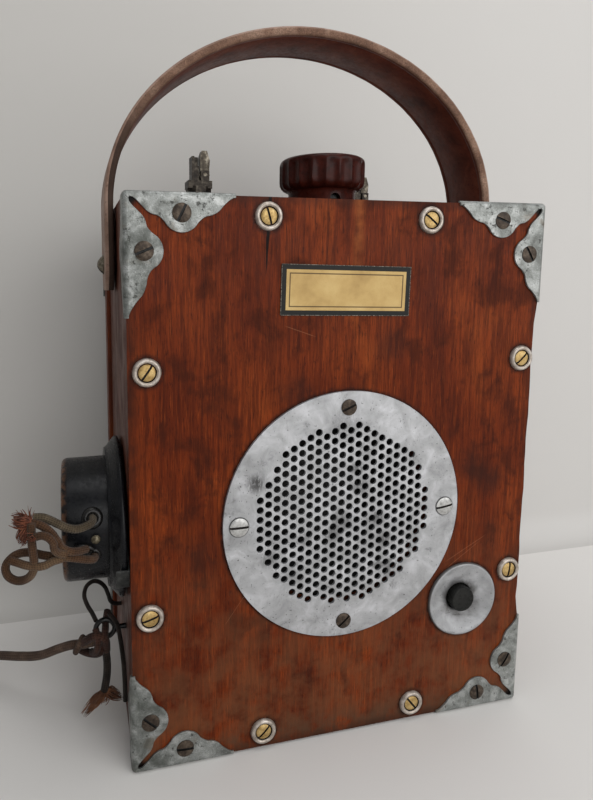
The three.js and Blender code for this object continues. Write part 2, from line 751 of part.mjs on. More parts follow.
function buildReceiver() {
  const seat = earCapDepth - 3;
  const cap = turned([
    [earHoleRadius, 3.6],
    [earCapRadius * 0.45, 2.4],
    [earCapRadius - 4, 0],
    [earCapRadius, 0],
    [earCapRadius, earCapRim],
    [earCapMouth, earCapDepth],
    [receiverCaseRadius - receiverWall, earCapDepth],
    [receiverCaseRadius - receiverWall, seat],
    [earHoleRadius, seat],
    [earHoleRadius, 3.6],
  ], 24);
  addPiece('receiver_cap', placeReceiver(cap), 'bakelite');

  const cavity = receiverCaseRadius - receiverWall;
  const back = earCapDepth + receiverCaseDepth;
  const shell = placeReceiver(turned([
    [0, back - receiverBack],
    [cavity, back - receiverBack],
    [cavity, earCapDepth],
    [receiverCaseRadius, earCapDepth],
    [receiverCaseRadius, back - 3],
    [receiverCaseRadius - 0.8, back - 0.8],
    [receiverCaseRadius - 3, back],
    [0, back],
  ], 24));
  const wallY = receiverY - receiverCaseRadius;
  const drill = (radius, x, z, deep) => intoCase(rod(radius, -2, deep, 10)).translate(x, wallY, z);
  const upperHole = drill(cordHoleRadius, upperCordX, upperCordZ, 12);
  const lowerHole = drill(cordHoleRadius, lowerCordX, lowerCordZ, 12);
  const terminalHole = drill(terminalShankRadius + clearance, terminalX, terminalZ, 12);
  addPiece('receiver_case', cut(shell, upperHole, lowerHole, terminalHole), 'bakelite');

  const terminal = turned([
    [0, -terminalBallRadius - 1],
    [terminalBallRadius * 0.75, -terminalBallRadius],
    [terminalBallRadius, -1.6],
    [terminalBallRadius * 0.7, 0],
    [terminalShankRadius, 0],
    [terminalShankRadius, 5.5],
    [0, 5.5],
  ], 10);
  addPiece('receiver_terminal', intoCase(terminal).translate(terminalX, wallY - 0.05, terminalZ), 'brass');

  const disc = rod(cavity - clearance, seat, seat + diaphragmThickness, 24);
  addPiece('receiver_diaphragm', placeReceiver(disc), 'steel');
  const magnet = rod(magnetRadius, seat + diaphragmThickness + clearance, back - receiverBack, 16);
  addPiece('receiver_magnet', placeReceiver(magnet), 'iron');
}

function buildClip() {
  let clip = solid(rod(clipPlateRadius, 0, clipThickness, 24));
  const fingerInner = earCapRadius + clearance;
  for (const degrees of clipArmAngles) {
    const half = clipArmWidth / 2;
    const arm = box(0, fingerInner + clipThickness, -half, half, 0, clipThickness);
    const finger = box(fingerInner, fingerInner + clipThickness, -half, half, 0, clipFingerLength);
    const turn = THREE.MathUtils.degToRad(degrees);
    clip = clip.add(solid(arm.rotateZ(turn))).add(solid(finger.rotateZ(turn)));
  }
  addPiece('receiver_clip', outOfLeft(geometryOf(clip)).translate(left, receiverY, receiverZ), 'steel');
}

function buildCordEye() {
  const ring = new THREE.TorusGeometry(eyeRadius, eyeWire, 6, 18).rotateX(Math.PI / 2);
  ring.translate(eyeX, eyeY, eyeZ);
  const shank = outOfLeft(rod(eyeWire, -eyeGrip, left - eyeX - eyeRadius + 0.3, 8));
  addPiece('cord_eye', join(ring, shank.translate(left, eyeY, eyeZ)), 'iron');
}

// A closed tube of some sides along a smooth curve
function tube(curve, diameter, sides, steps) {
  const points = [];
  for (let side = 0; side < sides; side += 1) {
    const angle = ((side + 0.5) / sides) * 2 * Math.PI;
    points.push(new THREE.Vector2((diameter / 2) * Math.cos(angle), (diameter / 2) * Math.sin(angle)));
  }
  return new THREE.ExtrudeGeometry(new THREE.Shape(points), { steps, extrudePath: curve });
}

function smooth(points) {
  const knots = points.map(([x, y, z]) => new THREE.Vector3(x, y, z));
  return new THREE.CatmullRomCurve3(knots, false, 'centripetal');
}

// Two flat layers of turns: in at the bottom, up in half a turn, and out again on top
class CoilCurve extends THREE.Curve {
  constructor() {
    super();
    this.turns = 2 * coilTurnsPerLayer + 0.5;
  }

  onTurn(turn) {
    const inward = Math.min(turn, coilTurnsPerLayer);
    const outward = Math.max(turn - coilTurnsPerLayer - 0.5, 0);
    const climb = THREE.MathUtils.clamp((turn - coilTurnsPerLayer) / 0.5, 0, 1);
    const radius = coilOuterRadius - coilPitch * (inward - outward);
    const angle = Math.PI / 2 + turn * 2 * Math.PI;
    const height = floorZ + lineCordDiameter / 2 + 0.1 + coilPitch * climb;
    return new THREE.Vector3(coilX + radius * Math.cos(angle), coilY + radius * Math.sin(angle), height);
  }

  // The cord comes in towards -X and goes out towards -Y, straight at both ends
  getPoint(share) {
    const turnLength = 2 * Math.PI * (coilOuterRadius - (coilPitch * coilTurnsPerLayer) / 2);
    const along = share * (lineCordDiameter + this.turns * turnLength + coilEndStraight) - lineCordDiameter;
    if (along < 0) return this.onTurn(0).add(new THREE.Vector3(-along, 0, 0));
    const past = along - this.turns * turnLength;
    if (past > 0) return this.onTurn(this.turns).add(new THREE.Vector3(0, -past, 0));
    return this.onTurn(along / turnLength);
  }
}

// Least gap between the coil's turns, from points on its middle line
function leastCoilGap(curve) {
  const perTurn = 90;
  const count = Math.round(curve.turns * perTurn);
  const points = [];
  for (let step = 0; step <= count; step += 1) points.push(curve.onTurn(step / perTurn));
  let least = Infinity;
  for (let i = 0; i < points.length; i += 1) {
    for (let j = i + perTurn / 3; j < points.length; j += 1) {
      least = Math.min(least, points[i].distanceTo(points[j]));
    }
  }
  return least - lineCordDiameter;
}

function buildLineCord() {
  const coil = new CoilCurve();
  const coilStart = coil.getPoint(0);
  const lineCord = smooth([
    [-130.1, 36.3, 51.2],
    [-134, 37.4, 49.9],
    [-138.7, 39, 48.4],
    [-143.5, 41.5, 47.4],
    [-150.9, 46, 43.4],
    [-162.5, 54, 35.5],
    [-174.6, 64, 30],
    [-187.4, 76, 24.4],
    [-200, 89, 17],
    [-212, 99.5, 9],
    [-223, 106.5, 3.4],
    [-231, 109.4, coilStart.z],
    [coilStart.x + clearance, coilStart.y, coilStart.z],
  ]);
  addPiece('line_cord', tube(lineCord, lineCordDiameter, 8, 16), 'braid');

  const steps = Math.round((coil.turns + 0.2) * coilStepsPerTurn);
  addPiece('line_cord_coil', tube(coil, lineCordDiameter, 6, steps), 'braid');
  console.log(`least gap in the coil ${leastCoilGap(coil).toFixed(2)} mm`);
  const length = lineCord.getLength() + coil.getLength();
  console.log(`line cord length ${length.toFixed(0)} mm`);

  const coilEnd = coil.getPoint(1);
  const neck = lineCordDiameter / 2 + 1.2;
  const plugBody = turned([
    [0, 0],
    [neck, 0],
    [neck + 0.6, 5],
    [plugRadius, 9],
    [plugRadius, plugLength],
    [0, plugLength],
  ], 14);
  const pinEnd = plugLength + plugPinLength;
  const pin = (side) => rod(plugPinRadius, plugLength - 1, pinEnd, 8).translate(0, side * 3.9, 0);
  const plug = join(plugBody, pin(1), pin(-1)).rotateX(Math.PI / 2);
  addPiece('line_plug', plug.translate(coilEnd.x, coilEnd.y - clearance, coilEnd.z), 'bakelite');
}

function buildShortCords() {
  const tail = smooth([
    [-127, 36.2, 50.8],
    [-125.8, 36, 43.5],
    [-125.3, 36, 36.8],
    [-125.7, 36, 29],
    [-127.2, 36, 20.5],
  ]);
  addPiece('line_cord_tail', tube(tail, tailDiameter, 8, 6), 'braid');

  const sideLead = smooth([
    [-124, 35.6, 67.2],
    [-119.8, 32, 62.5],
    [-118.2, 28, 55.5],
    [-117.3, 22.5, 48],
    [-117, 18, 39.5],
    [-117, 15.5, 28],
  ]);
  addPiece('side_lead', tube(sideLead, leadDiameter, 8, 10), 'braid');

  const holeBottom = left + leadHoleDepth - clearance;
  const loopLead = smooth([
    [holeBottom, leadHoleY, leadHoleZ],
    [left, leadHoleY, leadHoleZ],
    [left - 3.5, leadHoleY, leadHoleZ],
    [-121, 69.5, 54],
    [-122.6, 65.5, 61],
    [-125, 62.2, 68.5],
    [-128.4, 61.3, 72.2],
    [-132, 60.3, 73.2],
    [-135.5, 58.3, 71.6],
    [-136.8, 54.8, 68.2],
    [-135.3, 49.5, 65.3],
    [-132.8, 43.8, 63.4],
    [-130.9, 37.5, 62.4],
  ]);
  addPiece('loop_lead', tube(loopLead, leadDiameter, 8, 14), 'braid');

  const wallY = receiverY - receiverCaseRadius;
  const upper = smooth([
    [upperCordX, wallY + 6, upperCordZ],
    [upperCordX, wallY - 2, upperCordZ],
    [-134.5, 5.4, 132.4],
    [-139.3, 2.6, 132.4],
    [-143.6, 1.5, 133.8],
    [-147.6, 0.8, 136.4],
    [-151.2, 0.2, 138.9],
    [-155, 0, 140.9],
    [-159.2, 0, 141.3],
  ]);
  addPiece('receiver_cord_upper', tube(upper, receiverCordDiameter, 8, 12), 'braid');

  const lower = smooth([
    [lowerCordX, wallY + 4.5, lowerCordZ],
    [lowerCordX, wallY - 2.5, lowerCordZ],
    [-134.6, 4.4, 115.4],
    [-139.6, 1.6, 118],
    [-144.6, 0.6, 119.6],
    [-150, 0, 120.8],
    [-155.6, 0.8, 122],
    [-161.4, 3.2, 122.8],
    [-166.4, 5.3, 121.9],
    [-170.6, 6.4, 119.4],
    [-173.2, 6.2, 115.6],
    [-172.2, 4.6, 111.8],
    [-167.8, 2, 110],
    [-162.8, -0.8, 112],
    [-159.8, -3.4, 116.6],
    [-159.2, -5, 122.4],
    [-159.6, -5.6, 128.4],
    [-159.9, -5.6, 134.6],
    [-159.7, -5.6, 141],
  ]);
  addPiece('receiver_cord_lower', tube(lower, receiverCordDiameter, 8, 24), 'braid');
}

function buildInside() {
  const unit = turned([
    [unitRadius - unitWall, 0],
    [unitFlangeRadius, 0],
    [unitFlangeRadius, 3],
    [unitRadius, 3],
    [unitMagnetRadius + 6, unitDepth],
    [unitMagnetRadius, unitDepth],
    [unitMagnetRadius, unitDepth + unitMagnetDepth],
    [0, unitDepth + unitMagnetDepth],
    [0, unitDepth - unitWall],
    [unitMagnetRadius + 4, unitDepth - unitWall],
    [unitRadius - unitWall, 0],
  ], 16);
  addPiece('transmitter_unit', intoCase(unit).translate(grilleX, frontThickness, grilleZ), 'iron');

  const batteryX = left + boardThickness + clearance;
  const batteryY = boardBack - clearance - batteryDepth;
  const battery = box(0, batteryWidth, 0, batteryDepth, 0, batteryHeight);
  addPiece('dry_battery', battery.translate(batteryX, batteryY, boardThickness), 'card');

  const end = inductionLength / 2;
  const windings = rod(inductionRadius, -end, end, 16);
  const half = inductionCheek;
  const cheek = box(-half, half, -half, half, 0, inductionCheekThickness);
  const nearCheek = cheek.clone().translate(0, 0, -end - 0.5);
  const farCheek = cheek.translate(0, 0, end + 0.5 - inductionCheekThickness);
  const coil = join(windings, nearCheek, farCheek).rotateY(Math.PI / 2);
  coil.translate(inductionX, boardBack - inductionSetBack, boardThickness + inductionCheek);
  addPiece('induction_coil', coil, 'bronzedSteel');
}

buildCase();
buildBrackets();
buildPanelScrews();
buildGrille();
buildNameplate();
buildButton();
buildSelector();
buildLinePosts();
buildStrap();
buildReceiver();
buildClip();
buildCordEye();
buildLineCord();
buildShortCords();
buildInside();

// The origin lies under the middle of the telephone without its cords and their plug
const cordPieces = new Set(['line_cord', 'line_cord_coil', 'line_plug', 'line_cord_tail', 'side_lead']);
cordPieces.add('loop_lead').add('receiver_cord_upper').add('receiver_cord_lower');
const bounds = new THREE.Box3();
for (const piece of telephone.children) {
  if (!cordPieces.has(piece.name)) bounds.expandByObject(piece);
}
const middle = bounds.getCenter(new THREE.Vector3());
telephone.position.set(-middle.x, -middle.y, -bounds.min.z);
console.log(`origin moved by ${telephone.position.toArray().map((value) => value.toFixed(3)).join(' ')}`);

export default telephone;
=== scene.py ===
import math
import random

import bmesh
import bpy
from mathutils import Matrix, Vector


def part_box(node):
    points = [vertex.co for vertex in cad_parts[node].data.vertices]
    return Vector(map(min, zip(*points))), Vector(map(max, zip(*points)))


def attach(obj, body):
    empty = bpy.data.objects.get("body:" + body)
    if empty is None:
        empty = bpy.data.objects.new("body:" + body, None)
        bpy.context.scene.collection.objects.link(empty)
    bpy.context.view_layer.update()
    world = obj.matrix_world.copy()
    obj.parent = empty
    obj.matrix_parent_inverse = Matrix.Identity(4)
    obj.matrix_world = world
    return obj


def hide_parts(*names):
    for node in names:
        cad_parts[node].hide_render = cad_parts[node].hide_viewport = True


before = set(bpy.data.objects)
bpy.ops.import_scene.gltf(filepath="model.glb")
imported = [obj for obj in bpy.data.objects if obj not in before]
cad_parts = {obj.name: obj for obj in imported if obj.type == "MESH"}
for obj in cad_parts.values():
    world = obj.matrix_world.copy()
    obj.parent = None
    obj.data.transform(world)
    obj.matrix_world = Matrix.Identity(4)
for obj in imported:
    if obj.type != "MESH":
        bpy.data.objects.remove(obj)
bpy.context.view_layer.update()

SCENE = bpy.context.scene
MM = 0.001
TURN = 2 * math.pi

# Places are in millimetres from the bottom middle of the front panel's face
panel_low, panel_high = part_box("front_panel")
ORIGIN = Vector(((panel_low.x + panel_high.x) / 2, panel_low.y, panel_low.z))
WIDTH = (panel_high.x - panel_low.x) / MM
HEIGHT = (panel_high.z - panel_low.z) / MM
DEPTH = (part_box("back_cover")[1].y - panel_low.y) / MM
COVER_LIP = (panel_low.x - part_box("back_cover")[0].x) / MM
FLOOR = -ORIGIN.z / MM
LEFT = -WIDTH / 2
RIGHT = WIDTH / 2


def place(x, y, z):
    return ORIGIN + Vector((x, y, z)) * MM


def middle_of(node):
    """Middle of a CAD node, in this script's millimetres."""
    low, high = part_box(node)
    return ((low + high) / 2 - ORIGIN) / MM


def span_of(node):
    """Lowest and highest corner of a CAD node, in this script's millimetres."""
    low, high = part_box(node)
    return (low - ORIGIN) / MM, (high - ORIGIN) / MM


def span_width(node):
    low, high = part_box(node)
    return (high.x - low.x) / MM


# Camera, from the photograph's perspective
CAMERA_PLACE = (-137.3, -273.4, 255.3)
CAMERA_AZIMUTH = math.radians(-13.552)
CAMERA_ELEVATION = math.radians(6.689)
CAMERA_SENSOR = 36
CAMERA_LENS = 26.096
CAMERA_SHIFT = (0.10175, -0.07363)


def make_camera():
    data = bpy.data.cameras.new("camera")
    data.sensor_width = CAMERA_SENSOR
    data.lens = CAMERA_LENS
    data.shift_x, data.shift_y = CAMERA_SHIFT
    data.clip_start = 0.01
    camera = bpy.data.objects.new("camera", data)
    level = math.cos(CAMERA_ELEVATION)
    back = Vector((
        math.sin(CAMERA_AZIMUTH) * level,
        -math.cos(CAMERA_AZIMUTH) * level,
        math.sin(CAMERA_ELEVATION),
    ))
    right = Vector((math.cos(CAMERA_AZIMUTH), math.sin(CAMERA_AZIMUTH), 0))
    up = back.cross(right)
    turn = Matrix((right, up, back)).transposed().to_4x4()
    camera.matrix_world = Matrix.Translation(place(*CAMERA_PLACE)) @ turn
    SCENE.collection.objects.link(camera)
    SCENE.camera = camera


# Materials

def rgb(red, green, blue):
    """A colour written from 0 to 255, as the shader wants it."""
    def linear(value):
        value /= 255
        return value / 12.92 if value <= 0.04045 else ((value + 0.055) / 1.055) ** 2.4
    return linear(red), linear(green), linear(blue), 1


def scaled(colour, share):
    return [min(255, value * share) for value in colour]


class Paint:
    """A procedural material on the piece's own place at rest, in millimetres."""

    def __init__(self, name, roughness=0.5, metallic=0.0, specular=0.22, tone=1.0, **constants):
        self.material = bpy.data.materials.new(name)
        self.material.use_nodes = True
        self.tree = self.material.node_tree
        self.shader = self.tree.nodes["Principled BSDF"]
        self.tone = tone
        self.base = None
        self.set("Roughness", roughness)
        self.set("Metallic", metallic)
        self.set("Specular IOR Level", specular)
        for socket, value in constants.items():
            self.set(socket.replace("_", " "), value)
        spot = self.add("ShaderNodeTexCoord").outputs["Object"]
        moved = self.vector("SUBTRACT", spot, tuple(ORIGIN))
        self.spot = self.vector("SCALE", moved, scale=1 / MM)

    def add(self, kind, **settings):
        node = self.tree.nodes.new(kind)
        for name, value in settings.items():
            setattr(node, name, value)
        return node

    def feed(self, socket, value):
        if isinstance(value, bpy.types.NodeSocket):
            self.tree.links.new(value, socket)
        else:
            socket.default_value = value

    def set(self, socket, value):
        self.feed(self.shader.inputs[socket], value)

    def vector(self, operation, a, b=None, scale=None):
        node = self.add("ShaderNodeVectorMath", operation=operation)
        self.feed(node.inputs[0], a)
        if b is not None:
            self.feed(node.inputs[1], b)
        if scale is not None:
            self.feed(node.inputs["Scale"], scale)
        return node.outputs["Value" if operation == "DISTANCE" else "Vector"]

    def calc(self, operation, a, b=0.0):
        node = self.add("ShaderNodeMath", operation=operation)
        self.feed(node.inputs[0], a)
        self.feed(node.inputs[1], b)
        return node.outputs[0]

    def times(self, a, b):
        return self.calc("MULTIPLY", a, b)

    def plus(self, a, b):
        return self.calc("ADD", a, b)

    def minus(self, a, b):
        return self.calc("SUBTRACT", a, b)

    def size(self, a):
        return self.calc("ABSOLUTE", a)

    def along(self, axis):
        node = self.add("ShaderNodeSeparateXYZ")
        self.feed(node.inputs[0], self.spot)
        return node.outputs[axis]

    def away(self, x, z):
        """Distance from the line straight through the front at a place."""
        flat = self.vector("MULTIPLY", self.spot, (1, 0, 1))
        return self.vector("DISTANCE", flat, (x, 0, z))

    def noise(self, scale, detail=3.0, roughness=0.5, stretch=(1, 1, 1), distortion=0.0, seed=0.0):
        node = self.add("ShaderNodeTexNoise", noise_dimensions="4D")
        values = {
            "Vector": self.vector("MULTIPLY", self.spot, stretch), "Scale": scale, "Detail": detail,
            "Roughness": roughness, "Distortion": distortion, "W": seed,
        }
        for socket, value in values.items():
            self.feed(node.inputs[socket], value)
        return node.outputs["Fac"]

    def cells(self, scale):
        node = self.add("ShaderNodeTexVoronoi")
        self.feed(node.inputs["Vector"], self.spot)
        self.feed(node.inputs["Scale"], scale)
        return node.outputs["Distance"]

    def span(self, value, low, high, to_low=0.0, to_high=1.0):
        """Eases from one number to another while a value goes from low to high."""
        node = self.add("ShaderNodeMapRange", interpolation_type="SMOOTHSTEP")
        for socket, number in zip(("Value", "From Min", "From Max", "To Min", "To Max"),
                                  (value, low, high, to_low, to_high)):
            self.feed(node.inputs[socket], number)
        return node.outputs["Result"]

    def mix(self, share, a, b):
        node = self.add("ShaderNodeMix", data_type="RGBA")
        self.feed(node.inputs["Factor"], share)
        self.feed(node.inputs[6], a)
        self.feed(node.inputs[7], b)
        return node.outputs[2]

    def ramp(self, value, *stops):
        """The first coat: colours from 0 to 255 at places along a value."""
        node = self.add("ShaderNodeValToRGB")
        self.feed(node.inputs["Fac"], value)
        elements = node.color_ramp.elements
        while len(elements) < len(stops):
            elements.new(0.5)
        for element, (position, colour) in zip(elements, stops):
            element.position = position
            element.color = rgb(*scaled(colour, self.tone))
        self.base = node.outputs["Color"]

    def lay(self, share, colour, strength=None):
        """Lays a colour from 0 to 255 over the coats so far, by a share."""
        if strength is not None:
            share = self.times(share, strength)
        self.base = self.mix(share, self.base, rgb(*scaled(colour, self.tone)))

    def stain(self, value, low, high, to_low, to_high, colour):
        """Lays a colour over the coats so far, by where a value lies."""
        self.lay(self.span(value, low, high, to_low, to_high), colour)

    def near(self, x, z, radius, reach):
        """1 inside a circle in the front's plane, fading out over reach millimetres."""
        return self.span(self.away(x, z), radius, radius + reach, 1, 0)

    def ring(self, centre, radius, inner, outer):
        """1 on a circle in the front's plane, fading out within inner and outer millimetres."""
        distance = self.away(centre.x, centre.z)
        rise = self.span(distance, radius - inner, radius)
        return self.times(rise, self.span(distance, radius, radius + outer, 1, 0))

    def rough(self, value, low, high, to_low, to_high):
        self.set("Roughness", self.span(value, low, high, to_low, to_high))

    def bump(self, height, distance, strength=1.0):
        node = self.add("ShaderNodeBump")
        self.feed(node.inputs["Height"], height)
        self.feed(node.inputs["Distance"], distance * MM)
        self.feed(node.inputs["Strength"], strength)
        normal = self.shader.inputs["Normal"]
        if normal.is_linked:
            self.feed(node.inputs["Normal"], normal.links[0].from_socket)
        self.feed(normal, node.outputs["Normal"])

    def done(self):
        self.set("Base Color", self.base)
        return self.material


# Each panel screw and how far its slot is turned
PANEL_SCREWS = {
    "top_left": 1.85, "top_right": -0.66, "right_high": 0.75, "right_low": 1.43,
    "bottom_right": -0.9, "bottom_left": 0.78, "left_low": 0.3, "left_high": 0.95,
}


def wood(name, grain, seed, tone=1.0, dull=0.0, front=False):
    """Varnished, worn hardwood with its grain along x, y or z."""
    paint = Paint(name, specular=0.08, tone=tone)

    def grained(scale, detail, roughness, share, distortion, number):
        stretch = tuple(share if axis == grain else 1 for axis in "xyz")
        return paint.noise(scale, detail, roughness, stretch, distortion, seed + number)

    broad = grained(0.03, 4, 0.55, 0.35, 0.5, 0)
    figure = grained(0.42, 5, 0.6, 0.06, 0.5, 3)
    fibre = grained(1.9, 4, 0.6, 0.05, 0, 5)
    pores = grained(2.6, 2, 0.55, 0.07, 0, 7)
    mottle = grained(0.06, 5, 0.6, 0.8, 0.4, 9)
    flecks = grained(0.35, 5, 0.7, 0.4, 0.2, 11)
    paint.ramp(broad, (0.3, (80, 28, 8)), (0.44, (101, 38, 11)), (0.58, (120, 50, 16)),
               (0.72, (142, 68, 25)))
    paint.stain(figure, 0.38, 0.58, 0.6, 0, (58, 19, 6))
    paint.stain(fibre, 0.32, 0.62, 0.35, 0, (52, 19, 8))
    paint.stain(fibre, 0.54, 0.78, 0, 0.38, (166, 84, 34))
    paint.stain(mottle, 0.5, 0.64, 0, 0.62, (52, 20, 9))
    paint.stain(flecks, 0.58, 0.7, 0, 0.6, (46, 17, 8))
    paint.tone = 1
    paint.stain(pores, 0.58, 0.66, 0, 0.62, (30, 10, 5))
    # The grey haze, by a share, is a painted reflection: the varnish's grazing sheen on the side, top and
    # back boards
    if dull:
        paint.stain(paint.noise(0.08, 5, 0.6, seed=seed + 13), 0.3, 0.7, dull * 0.6, dull, (84, 62, 54))
    if front:
        front_wear_and_shade(paint)
    paint.rough(mottle, 0.35, 0.7, 0.34, 0.55)
    paint.bump(fibre, 0.1, 0.4)
    paint.bump(pores, 0.12, 0.4)
    return paint.done()


# Dark patches of the front: (x, z, size, strength)
DARK_PATCHES = [
    (75, 150, 11, 0.6), (88, 140, 12, 0.7), (-29, 195, 11, 0.5), (25, 217, 11, 0.45), (-79, 111, 12, 0.5),
]
# Scratches of the front: (x, z, slope, half length)
SCRATCHES = [(76, 99, 0.52, 16), (74, 95, 0.66, 14), (-27, 226, -0.35, 10), (-60, 82, 1.4, 12)]
# Smudges on the grille plate: (x, z, size, strength)
SMUDGES = [
    (-50.3, 148.7, 6, 0.85), (5.8, 152.6, 5, 0.7), (7.9, 142, 6, 0.65), (19.1, 123.5, 6, 0.65),
    (23.2, 111, 6, 0.65), (-7.6, 116.8, 6, 0.6), (-0.3, 125, 5, 0.55), (-43.4, 107.1, 6, 0.5),
    (-23, 115.7, 5, 0.45), (-2, 176, 12, 0.35),
]
PALE_BAND_X = 3.8
CRACK_X, CRACK_SLOPE = -45.2, -0.045


def front_wear_and_shade(paint):
    """Grime round the fittings, darker edges, lighter patches towards the bottom, painted shade in the
    corners under the brackets, and the crack.
    """
    x, z = paint.along("X"), paint.along("Z")
    patch = paint.noise(0.08, 5, 0.65, seed=21)
    # Lighter in patches towards the bottom, and greyer at the foot
    low = paint.times(paint.span(z, 5, 150, 1, 0), paint.span(patch, 0.3, 0.62))
    paint.lay(low, (104, 66, 42), 0.62)
    foot = paint.times(paint.span(z, 0, 20, 1, 0), paint.span(patch, 0.35, 0.6))
    paint.lay(foot, (66, 52, 40), 0.7)
    across = paint.size(x)
    edges = paint.calc("MAXIMUM", paint.span(across, RIGHT - 8, RIGHT - 1), paint.span(z, 0, 6, 1, 0))
    edges = paint.calc("MAXIMUM", edges, paint.span(z, HEIGHT - 6, HEIGHT))
    paint.lay(paint.times(edges, paint.span(patch, 0.3, 0.6, 0.2, 0.7)), (48, 22, 13))
    band = paint.span(paint.size(paint.minus(x, PALE_BAND_X)), 0, 5, 0.5, 0)
    high = paint.times(paint.span(z, HEIGHT - 60, HEIGHT - 20), paint.span(patch, 0.3, 0.6, 0.2, 1))
    paint.lay(paint.times(band, high), (166, 92, 44))
    # Painted shade: near black where the wood meets the corners, between the bracket leaves
    corner = paint.plus(paint.minus(RIGHT, across), paint.calc("MINIMUM", z, paint.minus(HEIGHT, z)))
    paint.stain(corner, 7, 12, 1, 0, (12, 6, 4))
    ragged = paint.span(paint.noise(0.5, 4, 0.6, seed=33), 0.3, 0.6, 0.3, 0.9)
    rings = [(f"panel_screw_{name}", 7, 3) for name in PANEL_SCREWS]
    rings += [(node, span_width(node) / 2, 2.6) for node in ("grille_plate", "button_bezel")]
    for node, radius, reach in rings:
        paint.lay(paint.times(paint.ring(middle_of(node), radius, 0.4, reach), ragged), (26, 13, 9))
    for spot_x, spot_z, size, strength in DARK_PATCHES:
        shape = paint.times(paint.near(spot_x, spot_z, size * 0.3, size), paint.span(patch, 0.25, 0.6))
        paint.lay(shape, (44, 22, 16), strength)
    for spot_x, spot_z, slope, reach in SCRATCHES:
        line = paint.minus(paint.minus(z, spot_z), paint.times(x, slope))
        line = paint.size(paint.plus(line, spot_x * slope))
        end = paint.span(line, 0.05, 0.3, 0.3, 0)
        paint.lay(paint.times(end, paint.near(spot_x, spot_z, reach * 0.6, reach * 0.4)), (168, 112, 78))
    wander = paint.times(paint.noise(0.12, 2, seed=31), 1.2)
    lean = paint.times(paint.minus(HEIGHT - 15, z), CRACK_SLOPE)
    middle = paint.plus(paint.plus(lean, wander), CRACK_X)
    crack = paint.size(paint.minus(x, middle))
    width = paint.span(z, HEIGHT - 38, HEIGHT - 16, 0.12, 0.75)
    crack = paint.span(paint.minus(crack, width), -0.1, 0.25, 1, 0)
    paint.lay(paint.times(crack, paint.span(z, HEIGHT - 38, HEIGHT - 34)), (16, 6, 4))


def zinc():
    """Galvanised steel, pitted and stained, and darker down the left leaves."""
    paint = Paint("zinc", metallic=0.5, specular=0.4)
    clouds = paint.noise(0.13, 5, 0.6, distortion=0.5)
    fine = paint.noise(1.5, 4, 0.65)
    pits = paint.noise(0.4, 4, 0.65, seed=4)
    specks = paint.noise(1.7, 3, 0.6, seed=14)
    paint.ramp(clouds, (0.3, (94, 96, 92)), (0.5, (136, 139, 136)), (0.7, (180, 182, 180)))
    paint.stain(fine, 0.3, 0.55, 0.4, 0, (98, 99, 95))
    paint.stain(fine, 0.55, 0.72, 0, 0.5, (206, 209, 208))
    paint.stain(pits, 0.58, 0.66, 0, 0.8, (52, 51, 47))
    paint.stain(specks, 0.6, 0.68, 0, 0.75, (44, 43, 40))
    paint.stain(paint.noise(0.09, 3, seed=9), 0.6, 0.72, 0, 0.55, (104, 90, 72))
    left = paint.times(paint.span(paint.along("X"), LEFT + 10, LEFT + 30, 1, 0),
                       paint.span(paint.along("Z"), HEIGHT - 26, HEIGHT - 5, 1, 0.1))
    paint.lay(paint.times(left, paint.span(clouds, 0.3, 0.65, 0.75, 0.25)), (72, 75, 70))
    paint.rough(clouds, 0.3, 0.7, 0.56, 0.36)
    paint.bump(fine, 0.12, 0.5)
    paint.bump(paint.span(pits, 0.56, 0.68, 1, 0), 0.25, 0.8)
    return paint.done()


def aluminium(name, tone, metallic, wear):
    """Scratched aluminium with smudges, and the wear of its own place."""
    paint = Paint(name, metallic=metallic, specular=0.3, tone=tone)
    clouds = paint.noise(0.09, 5, 0.6, distortion=0.7, seed=2)
    scratch = paint.noise(1.1, 5, 0.75, (0.16, 1, 1.3), 0.2, 5)
    smudge = paint.noise(0.07, 6, 0.68, distortion=0.3, seed=8)
    specks = paint.noise(0.9, 3, 0.5, seed=12)
    paint.ramp(clouds, (0.3, (142, 143, 144)), (0.52, (170, 171, 173)), (0.72, (196, 197, 200)))
    paint.tone = 1
    paint.stain(scratch, 0.6, 0.72, 0, 0.45, (104, 104, 104))
    paint.stain(smudge, 0.58, 0.72, 0, 0.7, (86, 85, 84))
    paint.stain(specks, 0.64, 0.71, 0, 0.75, (62, 61, 59))
    wear(paint, clouds, scratch)
    paint.rough(smudge, 0.4, 0.7, 0.38, 0.58)
    paint.bump(scratch, 0.05, 0.4)
    return paint.done()


def grille_wear(paint, clouds, scratch):
    """Smudges at their places and dirt round the two side screws."""
    fine = paint.noise(0.5, 6, 0.8, (1.6, 1, 0.5), 0.6, 17)
    paint.stain(fine, 0.56, 0.68, 0, 0.4, (92, 91, 90))
    for x, z, size, strength in SMUDGES:
        shape = paint.times(paint.near(x, z, size * 0.2, size), paint.span(fine, 0.36, 0.5))
        paint.lay(shape, (44, 42, 41), strength)
    for side in (1, -1):
        centre = middle_of("grille_plate") + Vector((side * GRILLE_SCREW_CIRCLE, 0, 0))
        paint.lay(paint.ring(centre, 5.1, 0.6, 0.7), (40, 39, 38), 0.85)


def bezel_wear(paint, clouds, scratch):
    """Ragged dirt round the button, most of it below, and a dark outer rim."""
    centre = middle_of("button_bezel")
    distance = paint.away(centre.x, centre.z)
    ragged = paint.plus(distance, paint.times(clouds, 9))
    paint.stain(ragged, BUTTON_RADIUS + 4, BUTTON_RADIUS + 12, 0.9, 0, (52, 48, 44))
    below = paint.span(paint.along("Z"), centre.z - 14, centre.z + 2, 1, 0)
    specked = paint.times(paint.span(distance, BUTTON_RADIUS + 1, BUTTON_RADIUS + 8, 1, 0),
                          paint.span(scratch, 0.5, 0.62))
    paint.lay(paint.times(specked, below), (44, 40, 36))
    paint.stain(distance, 20.9, 21.5, 0, 0.75, (70, 66, 62))


